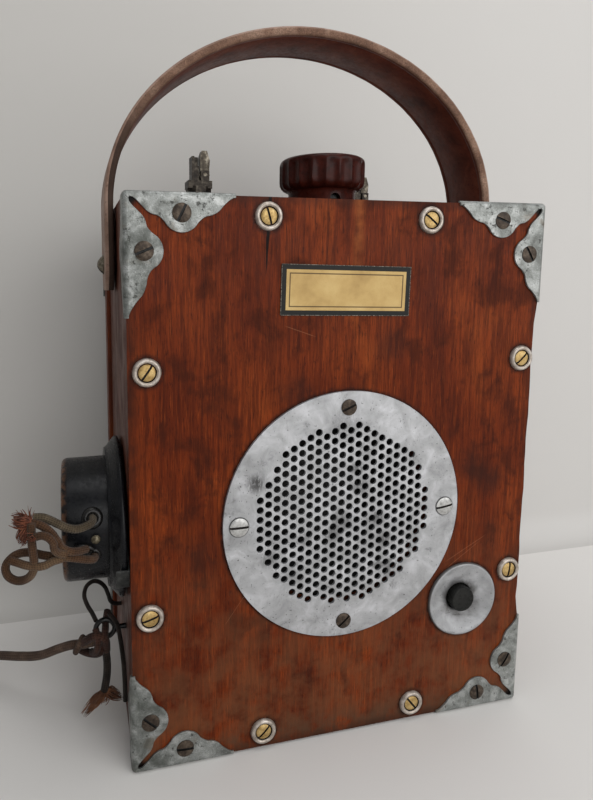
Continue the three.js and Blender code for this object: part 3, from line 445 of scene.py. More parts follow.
def metal(name, dark, mid, light, rough, metallic, scale=0.6, dirt=0.5):
    """Plain metal with tarnish in patches and small spots."""
    paint = Paint(name, metallic=metallic, specular=0.35)
    clouds = paint.noise(scale * 0.6, 4, 0.6)
    spots = paint.noise(scale * 3, 4, 0.65, seed=2)
    paint.ramp(clouds, (0.32, dark), (0.5, mid), (0.7, light))
    paint.stain(spots, 0.5, 0.72, 0, dirt, scaled(dark, 0.3))
    paint.rough(spots, 0.3, 0.7, *rough)
    paint.bump(spots, 0.06, 0.4)
    return paint.done()


def bakelite(name, dark, light, worn, rough=(0.2, 0.42), mottle=0.3, wear=0.5, specular=0.25):
    """Moulded resin with a worn, dusty sheen."""
    paint = Paint(name, specular=specular)
    cloud = paint.noise(mottle, 5, 0.6, distortion=0.4)
    haze = paint.noise(0.5, 5, 0.65, seed=6)
    marks = paint.noise(1.4, 5, 0.75, (0.3, 1, 1), seed=11)
    paint.ramp(cloud, (0.35, dark), (0.68, light))
    paint.stain(haze, 0.56, 0.75, 0, wear, worn)
    paint.stain(marks, 0.66, 0.74, 0, wear * 0.8, worn)
    paint.rough(haze, 0.3, 0.7, *rough)
    paint.bump(marks, 0.04, 0.35)
    return paint


def receiver_paint():
    """Black resin, worn brown at its back rim."""
    colours = (9, 10, 12), (17, 18, 21), (36, 35, 35)
    paint = bakelite("receiver_bakelite", *colours, (0.2, 0.4), 0.08, 0.3, 0.17)
    low, high = span_of("receiver_case")
    centre = middle_of("receiver_case")
    flat = paint.vector("MULTIPLY", paint.spot, (0, 1, 1))
    out = paint.vector("DISTANCE", flat, (0, centre.y, centre.z))
    rim = (high.z - low.z) / 2
    back = paint.span(paint.along("X"), low.x, low.x + 3.6, 1, 0)
    back = paint.times(back, paint.span(out, rim - 4.5, rim - 1.5))
    patch = paint.span(paint.noise(0.5, 4, seed=3), 0.35, 0.6)
    paint.lay(paint.times(back, patch), (96, 66, 46))
    paint.stain(paint.noise(0.12, 5, 0.65, seed=14), 0.45, 0.75, 0, 0.3, (38, 38, 41))
    return paint.done()


def leather(name, dark, mid, light, fuzz=0.0, rough=(0.42, 0.62)):
    """Vegetable-tanned leather: fine pebbles and creases, or a fuzzy cut edge with painted shade towards
    its lower left.
    """
    paint = Paint(name, specular=0.2)
    cloud = paint.noise(0.06, 5, 0.6, distortion=0.5)
    crease = paint.noise(0.55, 5, 0.7, seed=4)
    scuff = paint.noise(0.35, 5, 0.75, (1, 1, 0.5), seed=8)
    paint.ramp(cloud, (0.3, dark), (0.5, mid), (0.72, light))
    paint.stain(crease, 0.3, 0.48, 0.5, 0, scaled(dark, 0.55))
    paint.stain(scuff, 0.6, 0.74, 0, 0.45, scaled(light, 1.25))
    paint.rough(scuff, 0.3, 0.7, *rough)
    if fuzz:
        # Painted shade: the edge is darker towards the left and down, where it faces away from the light
        left = paint.times(paint.span(paint.along("X"), LEFT, LEFT + 60, 1, 0),
                           paint.span(paint.along("Z"), HEIGHT + 20, HEIGHT + 80, 0.9, 0))
        paint.lay(left, scaled(dark, 0.4))
        fibres = paint.noise(3.2, 4, 0.8, (0.4, 1, 0.4), seed=15)
        paint.stain(fibres, 0.35, 0.65, fuzz, 0, scaled(dark, 0.6))
        paint.bump(fibres, 0.4, 0.8)
    else:
        paint.bump(paint.cells(1.5), 0.1, 0.35)
        paint.bump(crease, 0.15, 0.35)
    return paint.done()


def braid(name, dark, mid, light, strands=6, per_turn=1.15, cloud_scale=0.12):
    """Woven cotton cover: two families of strands wound round the cord, with painted shade between the
    strands.
    """
    paint = Paint(name, roughness=0.85, specular=0.1, Sheen_Weight=0.08, Sheen_Roughness=0.5)
    uv = paint.add("ShaderNodeUVMap", uv_map="cord").outputs["UV"]
    parts = paint.add("ShaderNodeSeparateXYZ")
    paint.feed(parts.inputs[0], uv)
    around = paint.times(parts.outputs["X"], TURN * strands)
    down = paint.times(parts.outputs["Y"], TURN * strands / per_turn)
    one = paint.calc("SINE", paint.plus(around, down))
    two = paint.calc("SINE", paint.minus(around, down))
    height = paint.span(paint.times(one, two), -0.9, 0.9)
    cloud = paint.noise(cloud_scale, 4, 0.6)
    fuzz = paint.noise(2.4, 4, 0.7, seed=5)
    paint.ramp(cloud, (0.34, dark), (0.5, mid), (0.66, light))
    # Painted shade in the hollows between the strands
    paint.stain(height, 0, 0.45, 0.6, 0, scaled(dark, 0.5))
    paint.stain(fuzz, 0.5, 0.75, 0, 0.4, scaled(light, 1.2))
    paint.bump(height, 0.35, 0.8)
    paint.bump(fuzz, 0.15, 0.5)
    return paint.done()


PLATE_TILT = math.radians(1.2)
PLATE_HALF_WIDTH, PLATE_HALF_HEIGHT = 35.7, 12.8


def plate_print():
    """Nameplate: a dark border, a thin inner line and a bare golden field."""
    paint = Paint("nameplate_print", metallic=0.1)
    centre = middle_of("nameplate")
    x = paint.minus(paint.along("X"), centre.x)
    z = paint.minus(paint.along("Z"), centre.z)
    level, lean = math.cos(PLATE_TILT), math.sin(PLATE_TILT)
    across = paint.minus(paint.times(x, level), paint.times(z, lean))
    up = paint.plus(paint.times(x, lean), paint.times(z, level))
    inset = paint.calc("MINIMUM", paint.minus(PLATE_HALF_WIDTH, paint.size(across)),
                       paint.minus(PLATE_HALF_HEIGHT, paint.size(up)))
    cloud = paint.noise(0.07, 4, 0.6)
    spots = paint.noise(1.3, 4, 0.7, seed=3)
    paint.ramp(cloud, (0.3, (164, 134, 82)), (0.5, (184, 154, 98)), (0.7, (196, 168, 112)))
    paint.stain(spots, 0.56, 0.75, 0, 0.3, (140, 106, 62))
    border = paint.mix(paint.span(spots, 0.5, 0.75, 0, 0.3), rgb(20, 20, 18), rgb(66, 60, 48))
    line = paint.times(paint.span(inset, 4.1, 4.3), paint.span(inset, 4.7, 4.9, 1, 0))
    paint.lay(line, (52, 38, 22), 0.85)
    paint.base = paint.mix(paint.span(inset, 2.5, 2.7, 1, 0), paint.base, border)
    worn = paint.times(paint.span(inset, 0.1, 0.4, 1, 0), paint.span(spots, 0.42, 0.6, 0, 0.8))
    paint.lay(worn, (150, 144, 130))
    paint.rough(spots, 0.3, 0.7, 0.38, 0.55)
    paint.bump(spots, 0.04, 0.3)
    return paint.done()


def plain_stage(name, left, right, one_sided=False):
    """Pale paper with painted light: a little lighter to the right. A one-sided sheet is clear from behind.
    """
    paint = Paint(name, roughness=0.8)
    paint.base = paint.mix(paint.span(paint.along("X"), -220, 380), rgb(*left), rgb(*right))
    if one_sided:
        facing = paint.add("ShaderNodeNewGeometry").outputs["Backfacing"]
        clear = paint.add("ShaderNodeBsdfTransparent").outputs["BSDF"]
        both = paint.add("ShaderNodeMixShader")
        for socket, value in enumerate((facing, paint.shader.outputs["BSDF"], clear)):
            paint.feed(both.inputs[socket], value)
        paint.feed(paint.tree.nodes["Material Output"].inputs["Surface"], both.outputs["Shader"])
    return paint.done()


# Mesh pieces

def finished(name, mesh, paints, sharp):
    """An object from a bmesh in millimetres, with its paints and smooth faces."""
    mesh.transform(Matrix.Translation(ORIGIN) @ Matrix.Scale(MM, 4))
    data = bpy.data.meshes.new(name)
    mesh.to_mesh(data)
    mesh.free()
    data.shade_smooth()
    data.set_sharp_from_angle(angle=math.radians(sharp))
    for paint in paints if isinstance(paints, list) else [paints]:
        data.materials.append(paint)
    item = bpy.data.objects.new(name, data)
    SCENE.collection.objects.link(item)
    return item


def piece(name, mesh, paints, body, replaced=(), sharp=35, bevel=0, segments=2):
    """A piece from a bmesh in millimetres, riding on a body and hiding the CAD nodes it replaces."""
    item = finished(name, mesh, paints, sharp)
    if bevel:
        round_edges(item, bevel, segments)
    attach(item, body)
    if replaced:
        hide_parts(*([replaced] if isinstance(replaced, str) else replaced))
    return item


def round_edges(item, width, segments=2):
    bevel = item.modifiers.new("rounded", "BEVEL")
    bevel.width = width * MM
    bevel.segments = segments
    bevel.limit_method = "ANGLE"
    bevel.angle_limit = math.radians(30)
    bevel.harden_normals = True
    bevel.use_clamp_overlap = True


def node_mesh(node):
    """A CAD node's mesh in this script's millimetres, its flat faces joined."""
    mesh = bmesh.new()
    mesh.from_mesh(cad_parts[node].data)
    bmesh.ops.remove_doubles(mesh, verts=mesh.verts, dist=1e-6)
    bmesh.ops.dissolve_limit(mesh, angle_limit=math.radians(0.5), verts=mesh.verts, edges=mesh.edges)
    mesh.transform(Matrix.Scale(1 / MM, 4) @ Matrix.Translation(-ORIGIN))
    return mesh


def softened(node, paint, body, width, segments=2):
    """A piece with a CAD node's shape and rounded edges."""
    return piece(f"{node}_worn", node_mesh(node), paint, body, node, bevel=width, segments=segments)


def around(radius, angle, height):
    """A place on a circle about +Z."""
    return Vector((radius * math.cos(angle), radius * math.sin(angle), height))


def lathe(mesh, profile, sides, turn=Matrix.Identity(4), closed=False, paint=0):
    """Turns a profile of (radius, height) about +Z, then places it with turn."""
    rings = []
    for radius, height in profile:
        if radius < 1e-6:
            rings.append([mesh.verts.new(turn @ Vector((0, 0, height)))])
            continue
        ring = []
        for side in range(sides):
            ring.append(mesh.verts.new(turn @ around(radius, side / sides * TURN, height)))
        rings.append(ring)
    pairs = list(zip(rings, rings[1:]))
    if closed:
        pairs.append((rings[-1], rings[0]))
    for low, high in pairs:
        if len(low) == 1 and len(high) == 1:
            continue
        for side in range(sides):
            after = (side + 1) % sides
            corners = [low[side % len(low)], low[after % len(low)]]
            corners += [high[after % len(high)], high[side % len(high)]]
            face = mesh.faces.new(list(dict.fromkeys(corners)))
            face.material_index = paint


def at(x, y, z):
    return Matrix.Translation((x, y, z))


# Turns that point a turned piece's +Z into the case or out of one of its faces
INTO_CASE = Matrix.Rotation(-math.pi / 2, 4, "X")
OUT_OF_FRONT = Matrix.Rotation(math.pi / 2, 4, "X")
OUT_OF_LEFT = Matrix.Rotation(-math.pi / 2, 4, "Y")
OUT_OF_RIGHT = Matrix.Rotation(math.pi / 2, 4, "Y")


def spun(angle):
    return Matrix.Rotation(angle, 4, "Z")


def arc(centre, radius, start, end, steps=6):
    """Points on an arc in a profile, from one angle in degrees to another."""
    points = []
    for step in range(steps + 1):
        angle = math.radians(start + (end - start) * step / steps)
        points.append((centre[0] + radius * math.cos(angle), centre[1] + radius * math.sin(angle)))
    return points


def drill(item, radius, start, end, sharp=42):
    """Cuts a round hole through a piece, from start to end in millimetres."""
    axis = Vector(end) - Vector(start)
    mesh = bmesh.new()
    turn = at(*start) @ axis.to_track_quat("Z", "Y").to_matrix().to_4x4()
    lathe(mesh, [(0, 0), (radius, 0), (radius, axis.length), (0, axis.length)], 28, turn)
    clean(mesh)
    tool = finished("drill", mesh, list(item.data.materials), 35)
    cut = item.modifiers.new("hole", "BOOLEAN")
    cut.object = tool
    cut.solver = "EXACT"
    bpy.context.view_layer.update()
    graph = bpy.context.evaluated_depsgraph_get()
    data = bpy.data.meshes.new_from_object(item.evaluated_get(graph))
    item.modifiers.clear()
    item.data = data
    data.shade_smooth()
    data.set_sharp_from_angle(angle=math.radians(sharp))
    bpy.data.objects.remove(tool)


def slotted_head(mesh, radius, height, slot_width, slot_depth, turn, crown=0.0, paint=0, dark=1, sides=36):
    """A screw head from two halves, with a straight slot between them; the dark paint on the slot's walls
    and bottom is painted shade with some dirt.
    """
    rings = 5
    for side in (1, -1):
        top = []
        for ring in range(rings + 1):
            share = ring / rings
            row = []
            for step in range(sides // 2 + 1):
                angle = step / (sides // 2) * math.pi
                x = radius * share * math.cos(angle)
                y = max(radius * share * math.sin(angle), slot_width / 2) * side
                drop = crown * share ** 2 + (0.25 * height if ring == rings else 0)
                row.append(mesh.verts.new(turn @ Vector((x, y, height - drop))))
            top.append(row)
        for inner, outer in zip(top, top[1:]):
            for step in range(sides // 2):
                corners = [inner[step], outer[step], outer[step + 1], inner[step + 1]]
                mesh.faces.new(corners if side == 1 else corners[::-1]).material_index = paint
        wall = top[-1] + top[0][::-1]
        base = []
        for vert in wall:
            flat = turn.inverted() @ vert.co
            base.append(mesh.verts.new(turn @ Vector((flat.x, flat.y, height - slot_depth))))
        for index in range(len(wall)):
            after = (index + 1) % len(wall)
            corners = [wall[index], base[index], base[after], wall[after]]
            inner_wall = index >= len(top[-1]) - 1
            face = mesh.faces.new(corners if side == 1 else corners[::-1])
            face.material_index = dark if inner_wall else paint
    floor = height - slot_depth
    lathe(mesh, [(0, -0.3), (radius * 0.995, -0.3), (radius, floor), (0, floor)], sides, turn, paint=dark)


def clean(mesh):
    bmesh.ops.remove_doubles(mesh, verts=mesh.verts, dist=1e-4)
    bmesh.ops.dissolve_degenerate(mesh, edges=mesh.edges, dist=1e-4)
    bmesh.ops.recalc_face_normals(mesh, faces=mesh.faces)


def turned(name, parts, paints, body, replaced=(), sharp=35):
    """A piece from profiles turned about +Z: (profile, sides, turn) and what else lathe takes."""
    mesh = bmesh.new()
    for part in parts:
        lathe(mesh, *part)
    clean(mesh)
    return piece(name, mesh, paints, body, replaced, sharp)


def screw(name, head, paints, body, replaced=(), shank=None, bevel=0.12):
    """A slotted screw: what slotted_head takes, and a shank's profile, sides and turn."""
    mesh = bmesh.new()
    if shank:
        lathe(mesh, *shank)
    slotted_head(mesh, *head)
    clean(mesh)
    piece(name, mesh, paints, body, replaced, bevel=bevel)


def skin(mesh, one, two):
    """A band of faces between two rings of as many corners."""
    faces = []
    for side in range(len(one)):
        after = (side + 1) % len(one)
        faces.append(mesh.faces.new([one[side], one[after], two[after], two[side]]))
    return faces


# Cords

def smooth_route(points, step):
    """Points along a smooth curve through the route's points, a step apart in millimetres."""
    knots = [Vector(p) for p in points]
    knots = [2 * knots[0] - knots[1]] + knots + [2 * knots[-1] - knots[-2]]
    dense = []
    for index in range(1, len(knots) - 2):
        p0, p1, p2, p3 = knots[index - 1:index + 3]
        t1 = (p1 - p0).length ** 0.5
        t2 = t1 + (p2 - p1).length ** 0.5
        t3 = t2 + (p3 - p2).length ** 0.5
        for part in range(24):
            t = t1 + (t2 - t1) * part / 24
            a1 = p0 * ((t1 - t) / t1) + p1 * (t / t1)
            a2 = p1 * ((t2 - t) / (t2 - t1)) + p2 * ((t - t1) / (t2 - t1))
            a3 = p2 * ((t3 - t) / (t3 - t2)) + p3 * ((t - t2) / (t3 - t2))
            b1 = a1 * ((t2 - t) / t2) + a2 * (t / t2)
            b2 = a2 * ((t3 - t) / (t3 - t1)) + a3 * ((t - t1) / (t3 - t1))
            dense.append(b1 * ((t2 - t) / (t2 - t1)) + b2 * ((t - t1) / (t2 - t1)))
    dense.append(knots[-2])
    return evenly(dense, step)


def evenly(dense, step):
    """Points a step apart along a dense route."""
    lengths = [0.0]
    for a, b in zip(dense, dense[1:]):
        lengths.append(lengths[-1] + (b - a).length)
    count = max(2, round(lengths[-1] / step))
    route = []
    index = 0
    for number in range(count + 1):
        goal = lengths[-1] * number / count
        while index < len(dense) - 2 and lengths[index + 1] < goal:
            index += 1
        piece_length = lengths[index + 1] - lengths[index]
        share = (goal - lengths[index]) / piece_length if piece_length else 0
        route.append(dense[index].lerp(dense[index + 1], share))
    return route


def sweep(mesh, route, diameter, sides=12, radius_at=None):
    """A closed tube along a route, with a cord map: around once, and along in girths."""
    layer = mesh.loops.layers.uv.get("cord") or mesh.loops.layers.uv.new("cord")
    girth = math.pi * diameter
    normal = None
    rings = []
    travelled = 0.0
    for index, point in enumerate(route):
        ahead = route[min(index + 1, len(route) - 1)] - route[max(index - 1, 0)]
        ahead.normalize()
        if normal is None:
            normal = ahead.orthogonal().normalized()
        normal = (normal - ahead * normal.dot(ahead)).normalized()
        side = ahead.cross(normal)
        if index:
            travelled += (point - route[index - 1]).length
        radius = diameter / 2 * (radius_at(index / (len(route) - 1)) if radius_at else 1)
        ring = []
        for step in range(sides):
            angle = step / sides * TURN
            out = normal * math.cos(angle) + side * math.sin(angle)
            ring.append(mesh.verts.new(point + out * radius))
        rings.append((ring, travelled / girth))
    for (low, v0), (high, v1) in zip(rings, rings[1:]):
        for step, face in enumerate(skin(mesh, low, high)):
            near, far = step / sides, (step + 1) / sides
            for loop, u, v in zip(face.loops, (near, far, far, near), (v0, v0, v1, v1)):
                loop[layer].uv = (u, v)
    mesh.faces.new(rings[0][0][::-1])
    mesh.faces.new(rings[-1][0])


def cord_piece(name, route, diameter, paint, body, replaced, stiffness, lay, far_end="bare", sides=12,
               **facts):
    mesh = bmesh.new()
    sweep(mesh, route, diameter, sides)
    item = piece(name, mesh, paint, body, replaced, sharp=60)


def strands(name, routes, step, paint, body):
    """Short cords on one piece, from (diameter, route)."""
    mesh = bmesh.new()
    for diameter, route in routes:
        sweep(mesh, smooth_route(route, step), diameter)
    return piece(name, mesh, paint, body, sharp=60)


# Diameters of the cords, and the line cord's coil, with its plug COIL_END past the last turn
LINE_CORD = 5
RECEIVER_CORD = 4
TAIL_CORD = 4.4
LEAD = 2.5
COIL_X, COIL_Y = -244, 71
COIL_RADIUS = 39
COIL_PITCH = 6.2
COIL_LAYER_TURNS = 3.875
COIL_TURNS = 2 * COIL_LAYER_TURNS + 0.5
COIL_END = 22
COIL_HEIGHT = FLOOR + LINE_CORD / 2 + 0.1

LINE_ROUTE = [
    (-130.1, 36.3, 51.2), (-134, 37.4, 49.9), (-138.7, 39, 48.4), (-143.5, 41.5, 47.4), (-150.9, 46, 43.4),
    (-162.5, 54, 35.5), (-174.6, 64, 30), (-187.4, 76, 24.4), (-200, 89, 17), (-212, 99.5, 9),
    (-223, 106.5, 3.4), (-231, 109.4, COIL_HEIGHT),
]
TAIL_ROUTE = [
    (-127, 36.2, 50.8), (-125.8, 36, 43.5), (-125.3, 36, 36.8), (-125.7, 36, 29), (-127.2, 36, 20.5),
]
SIDE_LEAD_ROUTE = [
    (-124, 35.6, 67.2), (-119.8, 32, 62.5), (-118.2, 28, 55.5), (-117.3, 22.5, 48), (-117, 18, 39.5),
    (-117, 15.5, 28),
]
LOOP_LEAD_ROUTE = [
    (-110.6, 72, 50.5), (-114.3, 72, 50.5), (-117.8, 72, 50.5), (-121, 69.5, 54), (-122.6, 65.5, 61),
    (-125, 62.2, 68.5), (-128.4, 61.3, 72.2), (-132, 60.3, 73.2), (-135.5, 58.3, 71.6),
    (-136.8, 54.8, 68.2), (-135.3, 49.5, 65.3), (-132.8, 43.8, 63.4), (-130.9, 37.5, 62.4),
]
UPPER_ROUTE = [
    (-131.9, 18.1, 132.2), (-131.9, 10.1, 132.2), (-134.5, 5.4, 132.4), (-139.3, 2.6, 132.4),
    (-143.6, 1.5, 133.8), (-147.6, 0.8, 136.4), (-151.2, 0.2, 138.9), (-155, 0, 140.9),
    (-159.2, 0, 141.3),
]
LOWER_ROUTE = [
    (-131.4, 16.6, 113), (-131.4, 9.6, 113), (-134.6, 4.4, 115.4), (-139.6, 1.6, 118),
    (-144.6, 0.6, 119.6), (-150, 0, 120.8), (-155.6, 0.8, 122), (-161.4, 3.2, 122.8),
    (-166.4, 5.3, 121.9), (-170.6, 6.4, 119.4), (-173.2, 6.2, 115.6), (-172.2, 4.6, 111.8),
    (-167.8, 2, 110), (-162.8, -0.8, 112), (-159.8, -3.4, 116.6), (-159.2, -5, 122.4),
    (-159.6, -5.6, 128.4), (-159.9, -5.6, 134.6), (-159.7, -5.6, 141),
]
# Loose strands of the receiver's cord: (diameter, route)
TANGLE = [
    (4, [
        (-161.4, -1, 139.2), (-157.7, -3, 139.5), (-154.2, -3.5, 137.6), (-151.2, -3.5, 134.4),
        (-148.6, -3, 129.9), (-146.4, -2.5, 126), (-142.8, -2, 123.6), (-139.1, 1, 121.9),
        (-135.3, 6, 120.1),
    ]),
    (3.8, [
        (-158.4, -8.2, 135.3), (-156.4, -8.5, 135.8), (-154.5, -8.5, 135.8), (-151.9, -8.5, 134.3),
        (-150.2, -8, 131.5), (-149.9, -7, 128), (-148.2, -5.5, 125.2), (-144.6, -4.5, 123.5),
    ]),
    (3.8, [
        (-170.5, -1, 122.1), (-166.9, -2, 121), (-163.2, -4, 120.3), (-159.1, -5.5, 119.8),
        (-154.6, -6, 120), (-150.6, -5, 121.2), (-146.5, -4, 121.5),
    ]),
]

# Turns of the line cord's knot: (diameter, route)
KNOT = [
    (4.6, [
        (-140.9, 41.5, 46.2), (-138.7, 39, 48.8), (-136.1, 36.5, 52.2), (-133.1, 34.3, 55),
        (-129.9, 33, 56), (-127.2, 32.8, 54.6), (-125.8, 34.2, 50.9), (-125.6, 36, 44.8),
    ]),
    (4.4, [
        (-140.4, 42, 44.3), (-137.7, 40.5, 43.1), (-134.4, 39, 42.4), (-130.9, 37, 43),
        (-128.2, 35, 45.6), (-127.5, 36.5, 48.4), (-129.3, 40, 50.4), (-132.5, 41.5, 50.3),
        (-135.4, 41, 48.2),
    ]),
    (3.8, [
        (-133.6, 37.5, 44.2), (-131.9, 33.4, 46.2), (-130.4, 31.4, 50.6), (-130.2, 32.2, 55.2),
        (-131.2, 36, 58.2),
    ]),
    (4, [
        (-126.7, 35, 49.2), (-126.4, 33, 54.7), (-126, 33.5, 58.5), (-125.6, 36.5, 61.4),
        (-125, 38, 63.8), (-124.4, 38, 67),
    ]),
]
# Middle, up and side of the band round the line cord
COLLAR_PLACE = Vector((-140.3, 40.3, 47.6))
COLLAR_SIDE = Vector((-0.35, -0.93, -0.12)).normalized()
COLLAR_UP = Vector((0.42, -0.1, 0.9)).normalized()
# Clumps of loose fibres: (root, direction, spread, length, count)
TAIL_FRAY = [
    ((-127.1, 36, 21.2), (-0.2, 0.1, -1), 3, 9, 110),
    ((-127.4, 36, 20.6), (-0.75, -0.1, -0.75), 2.8, 17, 90),
    ((-126.4, 36, 20.4), (0.8, -0.2, -0.35), 2.6, 10, 80),
]
FLOCK = [
    ((-160.4, -3.4, 140.4), (-0.95, -0.05, 0.22), 3, 8.2, 190),
    ((-160.6, -3.4, 139.4), (-0.55, 0, -1), 2.5, 9.6, 170),
    ((-161.2, -3.2, 141), (-0.65, 0, 0.9), 0.5, 8.5, 5),
    ((-160.2, -2.4, 141), (0.05, 0, 1), 0.5, 7.5, 9),
    ((-157.6, -8.4, 135.4), (-0.6, -0.2, 0.1), 1.2, 3.4, 26),
]


def coil_point(turn):
    """The coil winds in on the floor, climbs in half a turn and winds out on top."""
    inward = min(turn, COIL_LAYER_TURNS)
    outward = max(turn - COIL_LAYER_TURNS - 0.5, 0)
    climb = min(max((turn - COIL_LAYER_TURNS) / 0.5, 0), 1)
    radius = COIL_RADIUS - COIL_PITCH * (inward - outward)
    angle = TURN / 4 + turn * TURN
    height = COIL_HEIGHT + COIL_PITCH * climb
    return Vector((COIL_X + radius * math.cos(angle), COIL_Y + radius * math.sin(angle), height))


def line_cord_route():
    start = coil_point(0)
    free = smooth_route(LINE_ROUTE + [(start.x + LINE_CORD, start.y, start.z)], 2.5)
    coil = [coil_point(number / 48) for number in range(int(COIL_TURNS * 48) + 1)]
    tail = [coil[-1] + Vector((0, -COIL_END * share / 6, 0)) for share in range(1, 7)]
    return free + [start + Vector((LINE_CORD / 2, 0, 0))] + coil + tail


def make_cords(paints):
    plug = make_plug(paints)
    band = []
    for number in range(33):
        angle = number / 30 * TURN
        band.append(COLLAR_PLACE + (COLLAR_SIDE * math.cos(angle) + COLLAR_UP * math.sin(angle)) * 3.5)
    mesh = bmesh.new()
    sweep(mesh, band, 3.7)
    collar = piece("line_cord_collar", mesh, paints["line_braid"], "case", sharp=60)
    knot = strands("line_cord_knot", KNOT, 1, paints["knot_braid"], "case")
    dark = paints["dark_braid"]
    cord_piece("line_cord_braid", line_cord_route(), LINE_CORD, paints["line_braid"], "case",
               ["line_cord", "line_cord_coil"], "limp", "coiled", "plug", with_pieces=[plug, collar, knot])
    fray = make_fray("tail_fray", TAIL_FRAY, paints["loose_fibre"], "case", 5)
    cord_piece("tail_braid", smooth_route(TAIL_ROUTE, 1.2), TAIL_CORD, dark, "case", "line_cord_tail",
               "limp", "hanging", with_pieces=[fray])
    cord_piece("side_lead_braid", smooth_route(SIDE_LEAD_ROUTE, 1), LEAD, dark, "case", "side_lead",
               "limp", "hanging", sides=10)
    cord_piece("loop_lead_braid", smooth_route(LOOP_LEAD_ROUTE, 1), LEAD, dark, "case", "loop_lead",
               "medium", "loose", "knot", sides=10, with_pieces=[knot])
    cord_piece("receiver_upper_braid", smooth_route(UPPER_ROUTE, 1.2), RECEIVER_CORD, paints["olive_braid"],
               "receiver", "receiver_cord_upper", "medium", "loose")
    flock = make_fray("receiver_cord_flock", FLOCK, paints["orange_flock"], "receiver", 7)
    tangle = strands("receiver_cord_tangle", TANGLE, 1.1, paints["receiver_braid"], "receiver")
    cord_piece("receiver_lower_braid", smooth_route(LOWER_ROUTE, 1.2), RECEIVER_CORD,
               paints["receiver_braid"], "receiver", "receiver_cord_lower", "medium", "loose",
               with_pieces=[tangle, flock])


def make_plug(paints):
    low, high = span_of("line_plug")
    end = coil_point(COIL_TURNS)
    turn = at(end.x, end.y - COIL_END - 0.3, end.z) @ OUT_OF_FRONT
    radius = (high.x - low.x) / 2
    body = [(0, 0), (3.5, 0), (4, 0.8), (4.2, 4), (radius - 2.4, 7.6), (radius - 0.4, 9.6), (radius, 11)]
    body += [(radius, 14), (radius - 0.7, 14.6), (radius - 0.7, 16), (radius, 16.6), (radius, 25.4)]
    body += [(radius - 1.2, 27), (0, 27)]
    pin = [(0, 26.5), (2, 26.5), (2, 39.6), (1.2, 41), (0, 41)]
    pins = [(pin, 16, turn @ at(side * 3.9, 0, 0), False, 1) for side in (-1, 1)]
    paint = [paints["bakelite"], paints["brass"]]
    return turned("line_plug_turned", [(body, 40, turn), *pins], paint, "case", "line_plug")


def make_fray(name, clumps, paint, body, seed):
    """Loose cotton fibres out of a cut end, in clumps of (root, direction, spread, length, count)."""
    rng = random.Random(seed)
    mesh = bmesh.new()
    for root, direction, spread, length, count in clumps:
        root = Vector(root)
        ahead = Vector(direction).normalized()
        side = ahead.orthogonal().normalized()
        up = ahead.cross(side)
        for _ in range(count):
            angle = rng.uniform(0, TURN)
            out = rng.uniform(0.05, 1)
            push = (side * math.cos(angle) + up * math.sin(angle)) * out
            reach = length * rng.uniform(0.45, 1)
            bend = Vector((rng.uniform(-1, 1), rng.uniform(-1, 1), rng.uniform(-1, 1)))
            strand = []
            for step in range(7):
                share = step / 6
                belly = math.sin(share * math.pi * 0.85)
                out_by = push * (0.9 + spread * belly)
                strand.append(root + ahead * reach * share + out_by + bend * 1.3 * share ** 2)
            sweep(mesh, strand, rng.uniform(0.45, 1), 5, lambda share: 1.05 - 0.75 * share)
    return piece(name, mesh, paint, body, sharp=80)


def make_case(paints):
    make_panel(paints)
    for side in ("left", "right"):
        softened(f"{side}_board", paints["side_wood"], "case", 0.5)
    for side in ("top", "bottom"):
        softened(f"{side}_board", paints["top_wood"], "case", 0.4)
    softened("back_cover", paints["cover_wood"], "case", 1.2, 3)


# How far the panel's right edge is worn back, how far from its corners it starts, and how far it eases
PANEL_SHRINK = 1.9
PANEL_WORN_FROM = 50
PANEL_EASE = 14


def make_panel(paints):
    """The front panel, its right edge worn back between the corner brackets."""
    mesh = node_mesh("front_panel")
    steps = 26
    low, high = PANEL_WORN_FROM, HEIGHT - PANEL_WORN_FROM
    for step in range(steps + 1):
        height = low + (high - low) * step / steps
        parts = mesh.verts[:] + mesh.edges[:] + mesh.faces[:]
        bmesh.ops.bisect_plane(mesh, geom=parts, plane_co=(0, 0, height), plane_no=(0, 0, 1))
    for vert in mesh.verts:
        if vert.co.x > RIGHT - 0.2 and low < vert.co.z < high:
            ease = min(1, (vert.co.z - low) / PANEL_EASE, (high - vert.co.z) / PANEL_EASE)
            ease = ease * ease * (3 - 2 * ease)
            wave = 0.25 * math.sin(vert.co.z * 0.13) + 0.15 * math.sin(vert.co.z * 0.31 + 1)
            vert.co.x -= (PANEL_SHRINK + wave) * ease
    item = piece("front_panel_worn", mesh, paints["front_wood"], "case", "front_panel", sharp=30)
    round_edges(item, 1.0, 3)


# A bracket's leaf: its lobe holds the screw, and it tapers to both ends
LEAF_LENGTH = 53
LEAF_LOBE = (26.6, 8.7)
LEAF_LOBE_RADIUS = 9.2
LEAF_STRETCH_FROM = 36
FLANGE_FROM = 10.5
BRACKET_T = 1.2
BRACKET_FOLD = 2.4


def leaf_outline():
    """Inner edge of a leaf from its tip to the slot at the corner: (along, across)."""
    lobe_x, lobe_y = LEAF_LOBE
    points = [(LEAF_LENGTH, 0.6), (50, 2.4), (47.2, 4.8), (44.4, 7.9), (41.2, 9.6), (38, 10.4)]
    points += arc((lobe_x, lobe_y), LEAF_LOBE_RADIUS, 28, 152, 9)
    points += [(15.4, 10.3), (12.6, 9.6), (10, 8), (8.2, 6.2), (6.6, 4.5), (5.2, 3.1), (4, 2.2), (2.9, 1.9)]
    route = smooth_route([(x, y, 0) for x, y in points], 1.1)
    return [(p.x, p.y) for p in route]


